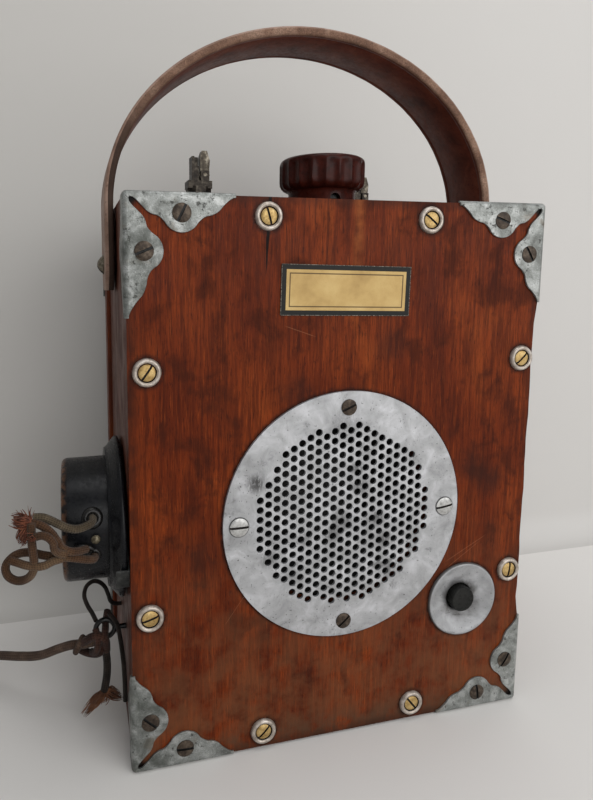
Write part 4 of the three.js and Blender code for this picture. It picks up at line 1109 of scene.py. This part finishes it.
def make_bracket(name, paint, mirror, corner, upright=LEAF_LENGTH):
    """Folded corner bracket: two leaves on the front, and a flange on the top and side."""
    mesh = bmesh.new()
    turn = at(*corner) @ Matrix.Diagonal((*mirror, 1))
    fold, t = BRACKET_FOLD, BRACKET_T
    start = fold - t
    leaf = [(max(x, start), max(y, start)) for x, y in leaf_outline()]
    longer = (upright - LEAF_STRETCH_FROM) / (LEAF_LENGTH - LEAF_STRETCH_FROM)
    tall = [(x + max(0, x - LEAF_STRETCH_FROM) * (longer - 1), y) for x, y in leaf]

    def vert(u, d, w):
        return mesh.verts.new(turn @ Vector((u, d, -w)))

    def flange(points, end):
        kept = [(x, y) for x, y in points if x > FLANGE_FROM]
        return [(start, start), (end, start)] + kept + [(start, kept[-1][1])]

    slot_head = [(2.3, 1.9), (1.9, 2.3)]
    outline = [(start, start), (LEAF_LENGTH, start)] + leaf + slot_head
    outline += [(y, x) for x, y in reversed(tall)] + [(start, upright)]
    mesh.faces.new([vert(u, -t, w) for u, w in outline])
    mesh.faces.new([vert(u, d, -t) for u, d in flange(leaf, LEAF_LENGTH)])
    mesh.faces.new([vert(-t, d, w) for w, d in flange(tall, upright)])
    steps = 5
    depth_end = flange(leaf, LEAF_LENGTH)[-1][1]
    quarter = [step / steps * TURN / 4 for step in range(steps + 1)]
    bends = [(start - fold * math.sin(angle), start - fold * math.cos(angle)) for angle in quarter]

    def strip(near, far):
        mesh.faces.new([vert(*near[0]), vert(*far[0]), vert(*far[1]), vert(*near[1])])

    for (a0, b0), (a1, b1) in zip(bends, bends[1:]):
        strip([(start, b0, a0), (start, b1, a1)], [(LEAF_LENGTH, b0, a0), (LEAF_LENGTH, b1, a1)])
        strip([(a0, b0, start), (a1, b1, start)], [(a0, b0, upright), (a1, b1, upright)])
        strip([(a0, start, b0), (a1, start, b1)], [(a0, depth_end, b0), (a1, depth_end, b1)])
    rows = []
    for polar in quarter:
        row = []
        for angle in quarter:
            out = fold * math.sin(polar)
            row.append(vert(start - out * math.cos(angle), start - fold * math.cos(polar),
                            start - out * math.sin(angle)))
        rows.append(row)
    for low, high in zip(rows, rows[1:]):
        for a, b, c, d in zip(low, low[1:], high[1:], high):
            mesh.faces.new([a, b, c, d])
    clean(mesh)
    outward = sum((face.normal * face.calc_area() for face in mesh.faces), Vector())
    if outward.dot(Vector((-mirror[0], -mirror[1], mirror[2]))) < 0:
        bmesh.ops.reverse_faces(mesh, faces=mesh.faces)
    item = piece(f"{name}_folded", mesh, paint, "case", name, sharp=40)
    solid = item.modifiers.new("sheet", "SOLIDIFY")
    solid.thickness = (t - 0.02) * MM
    solid.offset = -1
    round_edges(item, 0.4, 2)


def make_brackets(paints):
    # The second paint darkens the screw slots: painted shade
    screw_paint = [paints["bronzed_steel"], paints["black_iron_and_slot_shade"]]
    for depth, sy, y, lip in (("front", 1, 0, 0), ("back", -1, DEPTH, COVER_LIP)):
        for height, sz, z in (("top", 1, HEIGHT), ("bottom", -1, 0)):
            for side, sx in (("left", 1), ("right", -1)):
                corner = (sx * (LEFT - lip), y, z)
                name = f"bracket_{depth}_{height}_{side}"
                upright = LEAF_LENGTH + (5 if name == "bracket_front_top_left" else 0)
                make_bracket(name, paints["zinc"], (sx, sy, sz), corner, upright)
                for leaf, (u, w), more in (("across", LEAF_LOBE, 0.9), ("upright", LEAF_LOBE[::-1], 0.2)):
                    spot = at(corner[0] + sx * u, y - sy * BRACKET_T, z - sz * w)
                    spot @= OUT_OF_FRONT if sy == 1 else INTO_CASE
                    angle = (len(name) * 1.7 + more) % 3.1
                    head = (4.6, 0.85, 1.3, 0.8, spot @ spun(angle), 0.3)
                    screw(f"{name}_screw_{leaf}", head, screw_paint, "case")


def make_panel_screws(paints):
    """Slotted brass screws, each sunk in a pressed cup washer."""
    seat = [(4.4, -0.2), (4.45, 0.6), (4.75, 1.25)]
    rim = [
        (4.75, 1.25), (5.1, 1.7), (5.7, 1.95), (6.25, 1.85), (6.7, 1.4), (6.95, 0.8), (7.05, 0.3),
        (7.05, 0),
    ]
    paint = [paints["nickel"], paints["brass"], paints["recess_shade_and_dirt"]]
    for name, angle in PANEL_SCREWS.items():
        node = f"panel_screw_{name}"
        low, high = span_of(node)
        spot = at((low.x + high.x) / 2, 0, (low.z + high.z) / 2) @ OUT_OF_FRONT
        mesh = bmesh.new()
        # The seat round the head takes the dark paint: painted shade in the gap, with some dirt
        lathe(mesh, seat, 40, spot, paint=2)
        lathe(mesh, rim, 40, spot)
        slotted_head(mesh, 4.1, 1.65, 1.1, 0.8, spot @ spun(angle), 0.25, paint=1, dark=2)
        clean(mesh)
        piece(f"{node}_cup", mesh, paint, "case", node)


# The grille's holes stand in columns, every second one half a pitch higher, inside a round field
GRILLE_COLUMNS = 22
GRILLE_FIRST_X = -47.94
GRILLE_FIRST_Z = 139.45
GRILLE_PITCH = 5.2
GRILLE_COLUMN_PITCH = 4.524
GRILLE_HOLE = 1.9
GRILLE_FIELD = 49.5
GRILLE_FIELD_MIDDLE = (-0.6, 127.2)
GRILLE_SCREW_CIRCLE = 59.3
GRILLE_T = 1.6
# Each grille screw: its way from the middle, the turn of its slot, its radius and its paint
GRILLE_SCREWS = {
    "top": (0, 1, 0.4, 4.3, "bronzed_steel"), "right": (1, 0, 0.15, 4.9, "bright_steel"),
    "bottom": (0, -1, 0.7, 4.3, "bronzed_steel"), "left": (-1, 0, 0, 4.9, "bright_steel"),
}


def grille_holes():
    for column in range(GRILLE_COLUMNS):
        x = GRILLE_FIRST_X + column * GRILLE_COLUMN_PITCH
        for row in range(-14, 15):
            z = GRILLE_FIRST_Z + (row + (column % 2) / 2) * GRILLE_PITCH
            if math.hypot(x - GRILLE_FIELD_MIDDLE[0], z - GRILLE_FIELD_MIDDLE[1]) < GRILLE_FIELD:
                yield x, z


def make_grille(paints):
    centre = middle_of("grille_plate")
    radius = span_width("grille_plate") / 2
    mesh = bmesh.new()

    def loop(x, z, r, sides):
        verts = []
        for side in range(sides):
            angle = (side + 0.5) / sides * TURN
            verts.append(mesh.verts.new((x + r * math.cos(angle), -GRILLE_T, z + r * math.sin(angle))))
        return [mesh.edges.new((verts[i], verts[(i + 1) % sides])) for i in range(sides)]

    edges = loop(centre.x, centre.z, radius, 120)
    for x, z in grille_holes():
        edges += loop(x, z, GRILLE_HOLE, 12)
    bmesh.ops.triangle_fill(mesh, use_beauty=True, use_dissolve=False, edges=edges, normal=(0, -1, 0))
    bmesh.ops.recalc_face_normals(mesh, faces=mesh.faces)
    if sum(face.normal.y * face.calc_area() for face in mesh.faces) > 0:
        bmesh.ops.reverse_faces(mesh, faces=mesh.faces)
    paint = paints["grille_aluminium"]
    plate = piece("grille_perforated", mesh, paint, "case", "grille_plate")
    sheet = plate.modifiers.new("sheet", "SOLIDIFY")
    sheet.thickness = GRILLE_T * MM
    sheet.offset = -1
    round_edges(plate, 0.16, 1)
    for name, (x, z, angle, size, paint) in GRILLE_SCREWS.items():
        spot = at(centre.x + x * GRILLE_SCREW_CIRCLE, -GRILLE_T, centre.z + z * GRILLE_SCREW_CIRCLE)
        head = (size, 1.05, 1.2, 0.95, spot @ OUT_OF_FRONT @ spun(angle), 0.3)
        node = f"grille_screw_{name}"
        screw(f"{node}_head", head, [paints[paint], paints["recess_shade_and_dirt"]], "case", node)


BUTTON_RADIUS = 7.3
BUTTON_PROUD = 0.9


def make_button(paints):
    """A dished ring let into the panel, with the button standing in its middle."""
    bezel = middle_of("button_bezel")
    spot = at(bezel.x, 0, bezel.z) @ OUT_OF_FRONT
    dish = [
        (8, -3.4), (8, -2.6), (8.3, -2.3), (9, -2), (10.4, -1.6), (12, -1.1), (14, -0.5), (16, 0.05),
        (18, 0.65), (19.3, 1.1), (20.1, 1.45), (20.7, 1.6), (21.2, 1.5), (21.55, 1.1), (21.7, 0.6),
        (21.7, 0), (17.2, 0), (17.2, -0.7), (13.5, -2.4),
    ]
    turned("button_bezel_spun", [(dish, 80, spot, True)], paints["bezel_aluminium"],
           "case", "button_bezel", 50)
    low, high = span_of("push_button")
    face, back = -low.y + BUTTON_PROUD, -high.y
    knob = [(0, face - 0.4), (4.6, face - 0.3), (6.2, face - 0.05), (6.7, face), (7.1, face - 0.3)]
    knob += [(BUTTON_RADIUS, face - 0.9), (BUTTON_RADIUS, -5.7), (9.2, -5.7), (9.2, -8), (3, -8)]
    knob += [(3, back), (0, back)]
    turned("push_button_turned", [(knob, 48, spot)], paints["button_black"],
           "button", "push_button")


FLUTES = 20
FLUTE_DEPTH = 1.45
KNOB_COLLAR = 20.2
KNOB_CAP_LOW = 12.2


def make_knob(paints):
    """The fluted knob from rings of (radius, height, share of the flutes' depth), and its set screw."""
    low, high = span_of("selector_knob")
    centre = (low + high) / 2
    radius = (high.x - low.x) / 2
    top = high.z - low.z
    collar, cap = KNOB_COLLAR, KNOB_CAP_LOW
    profile = [(3.4, 0, 0), (collar - 0.5, 0, 0), (collar, 0.5, 0), (collar, cap - 1.4, 0)]
    profile += [(collar + 0.8, cap, 0)]
    profile += [(radius - out, cap + up, deep) for out, up, deep in (
        (3.5, 0.2, 0.1), (1.2, 1.6, 0.6), (0.2, 3.6, 1), (0, 5.5, 1),
    )]
    profile += [(radius - out, top - down, deep) for out, down, deep in (
        (0, 7, 1), (0, 4.6, 0.8), (0.1, 3.4, 0.3), (0.5, 2.1, 0), (1.3, 1.1, 0), (2.6, 0.4, 0), (5, 0, 0),
        (7, 0.2, 0), (8, 1, 0),
    )]
    profile += [(12, top - 1.1, 0), (0, top - 1.1, 0)]
    sides = FLUTES * 12
    mesh = bmesh.new()
    rings = []
    for base, height, depth in profile:
        ring = []
        for side in range(sides):
            angle = side / sides * TURN
            dip = max(0, abs(math.sin(angle * FLUTES / 2)) * 1.2 - 0.2) ** 0.8
            r = base - FLUTE_DEPTH * depth * dip
            ring.append(mesh.verts.new((
                centre.x + r * math.cos(angle), centre.y + r * math.sin(angle), low.z + height,
            )))
        rings.append(ring)
    for one, two in zip(rings, rings[1:]):
        skin(mesh, one, two)
    mesh.faces.new(rings[0][::-1])
    clean(mesh)
    knob = piece("selector_knob_fluted", mesh, paints["brown_bakelite"], "selector",
                 "selector_knob", sharp=42)
    hole = span_of("knob_set_screw")
    middle = (hole[0].z + hole[1].z) / 2
    drill(knob, 3.3, (centre.x, centre.y - collar - 3, middle), (centre.x, centre.y - collar + 9, middle))
    spot = at(centre.x, centre.y - collar + 3.4, middle) @ OUT_OF_FRONT
    mesh = bmesh.new()
    slotted_head(mesh, 2.9, 0.4, 0.8, 0.9, spot, 0.1)
    lathe(mesh, [(0, -5), (2.9, -5), (2.9, -0.3), (0, -0.3)], 24, spot)
    clean(mesh)
    paint = [paints["black_iron_and_slot_shade"], paints["recess_shade_and_dirt"]]
    piece("knob_set_screw_turned", mesh, paint, "selector", "knob_set_screw")


def make_posts(paints):
    for side in ("left", "right"):
        softened(f"line_post_{side}", paints["worn_nickel"], "case", 0.45, 2)
        softened(f"line_post_lever_{side}", paints["lever_nickel"], f"{side}_lever", 0.7, 3)


STRAP_T = 5
STRAP_TIP_CUT = 9
# The strap's rounded edges, and the groove beside each on its inner side: (in from the edge, deep)
STRAP_ROUND, STRAP_CUT = 1.2, 0.35
STRAP_GROOVE = [(4, 0), (3.6, 0.3), (3.2, 0)]
# The left leg lies closer to the case than the right one, and its edge is worn wider
STRAP_NEAR = 0.2


def strap_sections():
    """Middle line of the strap, with its outward direction: (x, z, out_x, out_z)."""
    low, high = span_of("carry_strap")
    half = high.x - STRAP_T / 2
    rise = high.z - HEIGHT - STRAP_T / 2
    bottom = low.z
    sections = []
    legs = 12
    for step in range(legs):
        sections.append((-half, bottom + (HEIGHT - bottom) * step / legs, -1, 0))
    arch = 84
    for step in range(arch + 1):
        angle = math.pi * (1 - step / arch)
        x, z = half * math.cos(angle), rise * math.sin(angle)
        out = Vector((x / half ** 2, z / rise ** 2)).normalized()
        sections.append((x, HEIGHT + z, out.x, out.y))
    for step in range(1, legs + 1):
        sections.append((half, HEIGHT - (HEIGHT - bottom) * step / legs, 1, 0))
    return sections


def mirrored(points):
    return [(-x, y) for x, y in reversed(points)]


def make_strap(paints):
    """Leather strap with rounded, burnished edges and clipped ends."""
    low, high = span_of("carry_strap")
    middle = (low.y + high.y) / 2
    half_width = (high.y - low.y) / 2
    half = STRAP_T / 2
    rng = random.Random(3)
    mesh = bmesh.new()
    rings = []
    for x, z, out_x, out_z in strap_sections():
        width = half_width - max(0, STRAP_TIP_CUT - (z - low.z))
        frayed = rng.uniform(0, 0.22)
        front = width - frayed
        edge, slope, side = front - STRAP_ROUND, front - STRAP_CUT, half - STRAP_ROUND
        right = [
            (edge, -half), (slope, STRAP_CUT - half), (front, -side), (front, side),
            (slope, half - STRAP_CUT), (edge, half), (width * 0.5, half),
        ]
        groove = [(front - inward, deep - half) for inward, deep in STRAP_GROOVE]
        corners = right + [(0, half)] + mirrored(right) + mirrored(groove) + [(0, -half)] + groove
        worn = min(1, max(0, (HEIGHT + 50 - z) / 50)) if x < 0 else 0
        left = STRAP_NEAR * worn
        wide = STRAP_ROUND + 0.8 * worn
        slant = wide * 0.3
        corners[9:12] = [(-front + wide, half), (-front + slant, half - slant), (-front, half - wide)]
        ring = []
        for across, out in corners:
            ring.append(mesh.verts.new((x + left + out_x * out, middle + across, z + out_z * out)))
        rings.append(ring)
    for one, two in zip(rings, rings[1:]):
        for side, face in enumerate(skin(mesh, one, two)):
            face.material_index = 2 if 5 <= side <= 10 else 0 if 14 <= side <= 21 else 1
    mesh.faces.new(rings[0][::-1]).material_index = 1
    mesh.faces.new(rings[-1]).material_index = 1
    clean(mesh)
    paint = [paints["strap_inner"], paints["strap_edge"], paints["strap_outer"]]
    piece("carry_strap_leather", mesh, paint, "strap", "carry_strap", sharp=50)
    for side, turn in (("left", OUT_OF_LEFT), ("right", OUT_OF_RIGHT)):
        node = f"strap_screw_{side}"
        low, high = span_of(node)
        spot = at(low.x if side == "left" else high.x, middle_of(node).y, middle_of(node).z) @ turn
        shank = [(0, -9), (4, -9), (4, -4.2), (5.2, -4.2), (5.4, -3.6), (5.4, -3.2), (0, -3.2)]
        head = (5.4, 3.4, 1.3, 3, spot @ at(0, 0, -3.4) @ spun(0.5), 3.2)
        paint = [paints["strap_screw"], paints["recess_shade_and_dirt"]]
        screw(f"{node}_turned", head, paint, "case", node, (shank, 32, spot))


RECEIVER_WALL = 4.2


def make_receiver(paints):
    cap_low, cap_high = span_of("receiver_cap")
    case_low, case_high = span_of("receiver_case")
    centre = (cap_low + cap_high) / 2
    face = cap_high.x
    spot = at(face, centre.y, centre.z) @ OUT_OF_LEFT
    rim = (cap_high.z - cap_low.z) / 2
    body = (case_high.z - case_low.z) / 2
    cavity = body - RECEIVER_WALL
    depth = face - cap_low.x
    back = face - case_low.x
    cap = [
        (8, 5.2), (8, 3.6), (19.5, 2.5), (32, 1), (39, 0.1), (rim - 1.2, 0), (rim - 0.3, 0.35),
        (rim, 1.1), (rim, 2), (rim - 0.4, 2.8), (rim - 1.5, 3.7), (40, 5.6), (38.6, 6.5), (37.8, 7.3),
        (37.4, depth), (cavity, depth), (cavity, 5.2),
    ]
    shell = [
        (cavity, depth), (body, depth), (body, back - 3.4), (body - 0.25, back - 2),
        (body - 0.9, back - 0.9), (body - 2, back - 0.25), (body - 3.4, back), (body - 8, back),
        (body - 8.6, back - 0.5), (0, back - 0.5), (0, back - 3), (cavity, back - 3),
    ]
    for node, profile in (("receiver_cap", cap), ("receiver_case", shell)):
        turned(f"{node}_turned", [(profile, 96, spot, True)], paints["receiver_bakelite"],
               "receiver", node, 50)

    def on_wall(x, z):
        """A turn that stands on the case's round wall at a place on its front."""
        lean = math.asin((z - centre.z) / body)
        wall = centre.y - body * math.cos(lean)
        return at(x, wall, z) @ OUT_OF_FRONT @ Matrix.Rotation(-lean, 4, "X")

    upper, lower = UPPER_ROUTE[0], LOWER_ROUTE[0]
    boss = [(2.1, -1.5), (2.1, 0.5), (2.5, 1.2), (3.4, 1.5), (4.6, 1.1), (5.4, 0.2), (5.7, -1.2)]
    nut = [(2.1, -1), (2.2, 0.6), (2.7, 0.9), (3.5, 0.6), (4, -0.8)]
    parts = [(boss, 36, on_wall(upper[0], upper[2])), (nut, 32, on_wall(lower[0], lower[2]))]
    turned("receiver_bosses", parts, paints["glossy_black"], "receiver", sharp=60)
    mesh = bmesh.new()
    lugs = [
        (-140.8, 118.6, 1.6), (-139, 118.6, 2.2), (-136.4, 118.5, 2.4), (-134, 118.2, 1.9),
        (-131.6, 117, 1.3),
    ]
    route = [Vector((x, on_wall(x, z).translation.y - 0.9, z)) for x, z, _ in lugs]
    sweep(mesh, smooth_route(route, 0.8), 3.4, 12, lambda share: 0.7 + 0.5 * math.sin(share * math.pi))
    sweep(mesh, [route[0] + Vector((0.4, -0.6, -1.4)), route[0] + Vector((0.4, -0.6, 1.6))], 2.2, 10)
    clean(mesh)
    piece("receiver_cord_lug", mesh, paints["glossy_black"], "receiver", sharp=60)
    softened("receiver_clip", paints["spring_steel"], "case", 0.25)


EYE_WIRE, EYE_RADIUS = 1.4, 5.2


def make_eye(paints):
    centre = middle_of("cord_eye")
    x = span_of("cord_eye")[0].x + EYE_WIRE + EYE_RADIUS
    ring = []
    for step in range(40):
        angle = 0.25 + step / 39 * (TURN - 0.12)
        up = EYE_RADIUS * math.sin(angle)
        ring.append(Vector((x + EYE_RADIUS * math.cos(angle), centre.y, centre.z + up)))
    ring.append(Vector((x + EYE_RADIUS + EYE_WIRE, centre.y, centre.z)))
    mesh = bmesh.new()
    sweep(mesh, ring, 2 * EYE_WIRE)
    shank = [(0, 0), (EYE_WIRE, 0), (EYE_WIRE, 15.5), (0, 15.6)]
    lathe(mesh, shank, 16, at(x + EYE_RADIUS, centre.y, centre.z) @ OUT_OF_RIGHT)
    piece("cord_eye_bent", mesh, paints["glossy_black"], "case", "cord_eye", sharp=50)


# The CAD pieces that stay, and their paints
REPAINTED = {
    "nameplate": "nameplate_print", "button_contact": "brass", "selector_shaft": "spring_steel",
    "selector_switch": "bakelite", "receiver_terminal": "tarnished_ball",
    "receiver_diaphragm": "spring_steel", "receiver_magnet": "black_iron_and_slot_shade",
    "transmitter_unit": "black_iron_and_slot_shade", "dry_battery": "waxed_card", "induction_coil": "bronzed_steel",
}


def repaint(paints):
    for node, name in REPAINTED.items():
        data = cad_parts[node].data
        data.materials.clear()
        data.materials.append(paints[name])


def make_paints():
    card = Paint("waxed_card", roughness=0.7)
    card.ramp(card.noise(0.1, 4), (0.3, (118, 104, 78)), (0.7, (146, 130, 100)))
    card.bump(card.noise(1.2, 3), 0.1, 0.4)
    made = [
        wood("front_wood", "z", 1.5, front=True),
        wood("side_wood", "z", 12.0, 0.9, dull=0.6),
        wood("top_wood", "x", 27.0, 0.9, dull=0.3),
        wood("cover_wood", "z", 43.0, 0.95, dull=0.3),
        zinc(),
        aluminium("grille_aluminium", 1.03, 0.55, grille_wear),
        aluminium("bezel_aluminium", 0.93, 0.42, bezel_wear),
        metal("nickel", (138, 128, 118), (176, 166, 156), (204, 196, 188), (0.34, 0.5), 0.6, dirt=0.3),
        metal("brass", (142, 114, 66), (186, 156, 100), (208, 182, 128), (0.4, 0.6), 0.5, 0.4, 0.5),
        metal("bronzed_steel", (40, 32, 26), (66, 56, 47), (98, 86, 74), (0.35, 0.6), 0.5, dirt=0.6),
        metal("bright_steel", (142, 142, 140), (184, 184, 182), (210, 210, 208), (0.3, 0.5), 0.7, dirt=0.3),
        metal("worn_nickel", (24, 21, 18), (42, 37, 32), (84, 78, 69), (0.32, 0.55), 0.7, 0.5, 0.6),
        metal("lever_nickel", (38, 34, 28), (68, 62, 53), (136, 129, 116), (0.3, 0.5), 0.7, 0.6, 0.6),
        metal("tarnished_ball", (62, 55, 42), (98, 90, 72), (136, 128, 108), (0.35, 0.55), 0.5, 1.2, 0.5),
        metal("strap_screw", (70, 62, 50), (104, 96, 82), (142, 134, 120), (0.34, 0.55), 0.6, 0.9),
        metal("spring_steel", (34, 35, 34), (52, 53, 52), (76, 77, 75), (0.4, 0.6), 0.5),
        metal("black_iron_and_slot_shade", (16, 16, 16), (26, 26, 26), (44, 42, 40), (0.4, 0.65), 0.3),
        metal("glossy_black", (12, 12, 12), (22, 21, 20), (38, 36, 34), (0.2, 0.36), 0.2),
        metal("recess_shade_and_dirt", (14, 10, 7), (22, 16, 11), (34, 25, 17), (0.7, 0.9), 0.0),
        bakelite("bakelite", (20, 20, 22), (34, 34, 36), (60, 59, 58)).done(),
        bakelite("button_black", (20, 21, 20), (33, 33, 31), (54, 52, 49), specular=0.15).done(),
        bakelite("brown_bakelite", (38, 13, 9), (64, 23, 15), (92, 48, 36),
                 (0.24, 0.42), 0.2, 0.25, 0.13).done(),
        receiver_paint(),
        leather("strap_inner", (66, 30, 20), (94, 46, 32), (118, 66, 48)),
        leather("strap_outer", (104, 80, 68), (136, 110, 96), (160, 136, 122)),
        leather("strap_edge", (92, 66, 52), (134, 102, 84), (172, 142, 122), fuzz=0.6, rough=(0.6, 0.8)),
        braid("line_braid", (52, 38, 30), (72, 56, 46), (94, 76, 64)),
        braid("olive_braid", (56, 47, 35), (76, 66, 52), (98, 86, 70)),
        braid("receiver_braid", (50, 34, 23), (74, 51, 35), (100, 80, 60), cloud_scale=0.05),
        braid("dark_braid", (25, 20, 17), (38, 31, 27), (58, 49, 43)),
        braid("knot_braid", (34, 21, 17), (52, 34, 28), (74, 50, 41)),
        braid("loose_fibre", (60, 34, 22), (104, 66, 44), (142, 98, 68), 1, 4),
        braid("orange_flock", (78, 40, 27), (108, 60, 42), (134, 84, 60), 1, 4, 0.3),
        plate_print(),
        card.done(),
    ]
    # Blender adds a number to a name that the frame's own materials have
    return {material.name.partition(".")[0]: material for material in made}


STAGE_REACH = 3600
STAGE_BACK = 178
STAGE_BEND = 26
STAGE_HEIGHT = 1500


def make_stage():
    """A flat floor, and a wall behind the telephone that curves up from it."""
    mesh = bmesh.new()
    wall = arc((STAGE_BACK - STAGE_BEND, STAGE_BEND), STAGE_BEND, -90, 0, 10)
    wall += [(STAGE_BACK + 20, 420), (STAGE_BACK + 60, STAGE_HEIGHT)]
    for paint, profile in enumerate(([(-STAGE_REACH, 0), (STAGE_REACH, 0)], wall)):
        rows = []
        for y, z in profile:
            rows.append([mesh.verts.new((x, y, FLOOR + z)) for x in (-STAGE_REACH, STAGE_REACH)])
        for low, high in zip(rows, rows[1:]):
            mesh.faces.new([low[0], low[1], high[1], high[0]]).material_index = paint
    # The wall is the same paper as the floor, painted darker: painted shade
    floor_paper = plain_stage("floor_paper", (214, 212, 209), (224, 222, 219))
    shaded_wall_paper = plain_stage("shaded_wall_paper", (188, 186, 182), (199, 197, 194), True)
    finished("stage", mesh, [floor_paper, shaded_wall_paper], 180)


def add_light(name, spot, aim, size, power, colour=(1, 1, 1)):
    data = bpy.data.lights.new(name, "AREA")
    data.shape = "RECTANGLE"
    data.size, data.size_y = size[0] * MM, size[1] * MM
    data.energy = power
    data.color = colour
    light = bpy.data.objects.new(name, data)
    light.location = place(*spot)
    light.rotation_euler = (place(*spot) - place(*aim)).to_track_quat("Z", "Y").to_euler()
    SCENE.collection.objects.link(light)


def make_lights():
    world = bpy.data.worlds.new("studio")
    world.use_nodes = True
    background = world.node_tree.nodes["Background"]
    background.inputs["Color"].default_value = (0.97, 0.98, 1, 1)
    background.inputs["Strength"].default_value = 0.4
    SCENE.world = world
    add_light("key", (480, -1060, 620), (0, 40, 120), (1600, 1100), 12.8, (1, 0.99, 0.98))
    add_light("top", (60, 20, 1150), (0, 60, 100), (900, 600), 3.8)
    SCENE.view_settings.view_transform = "Standard"


make_camera()
PAINTS = make_paints()
for make in (make_cords, make_case, make_brackets, make_panel_screws, make_grille, make_button, make_knob,
             make_posts, make_strap, make_receiver, make_eye, repaint):
    make(PAINTS)
make_stage()
make_lights()
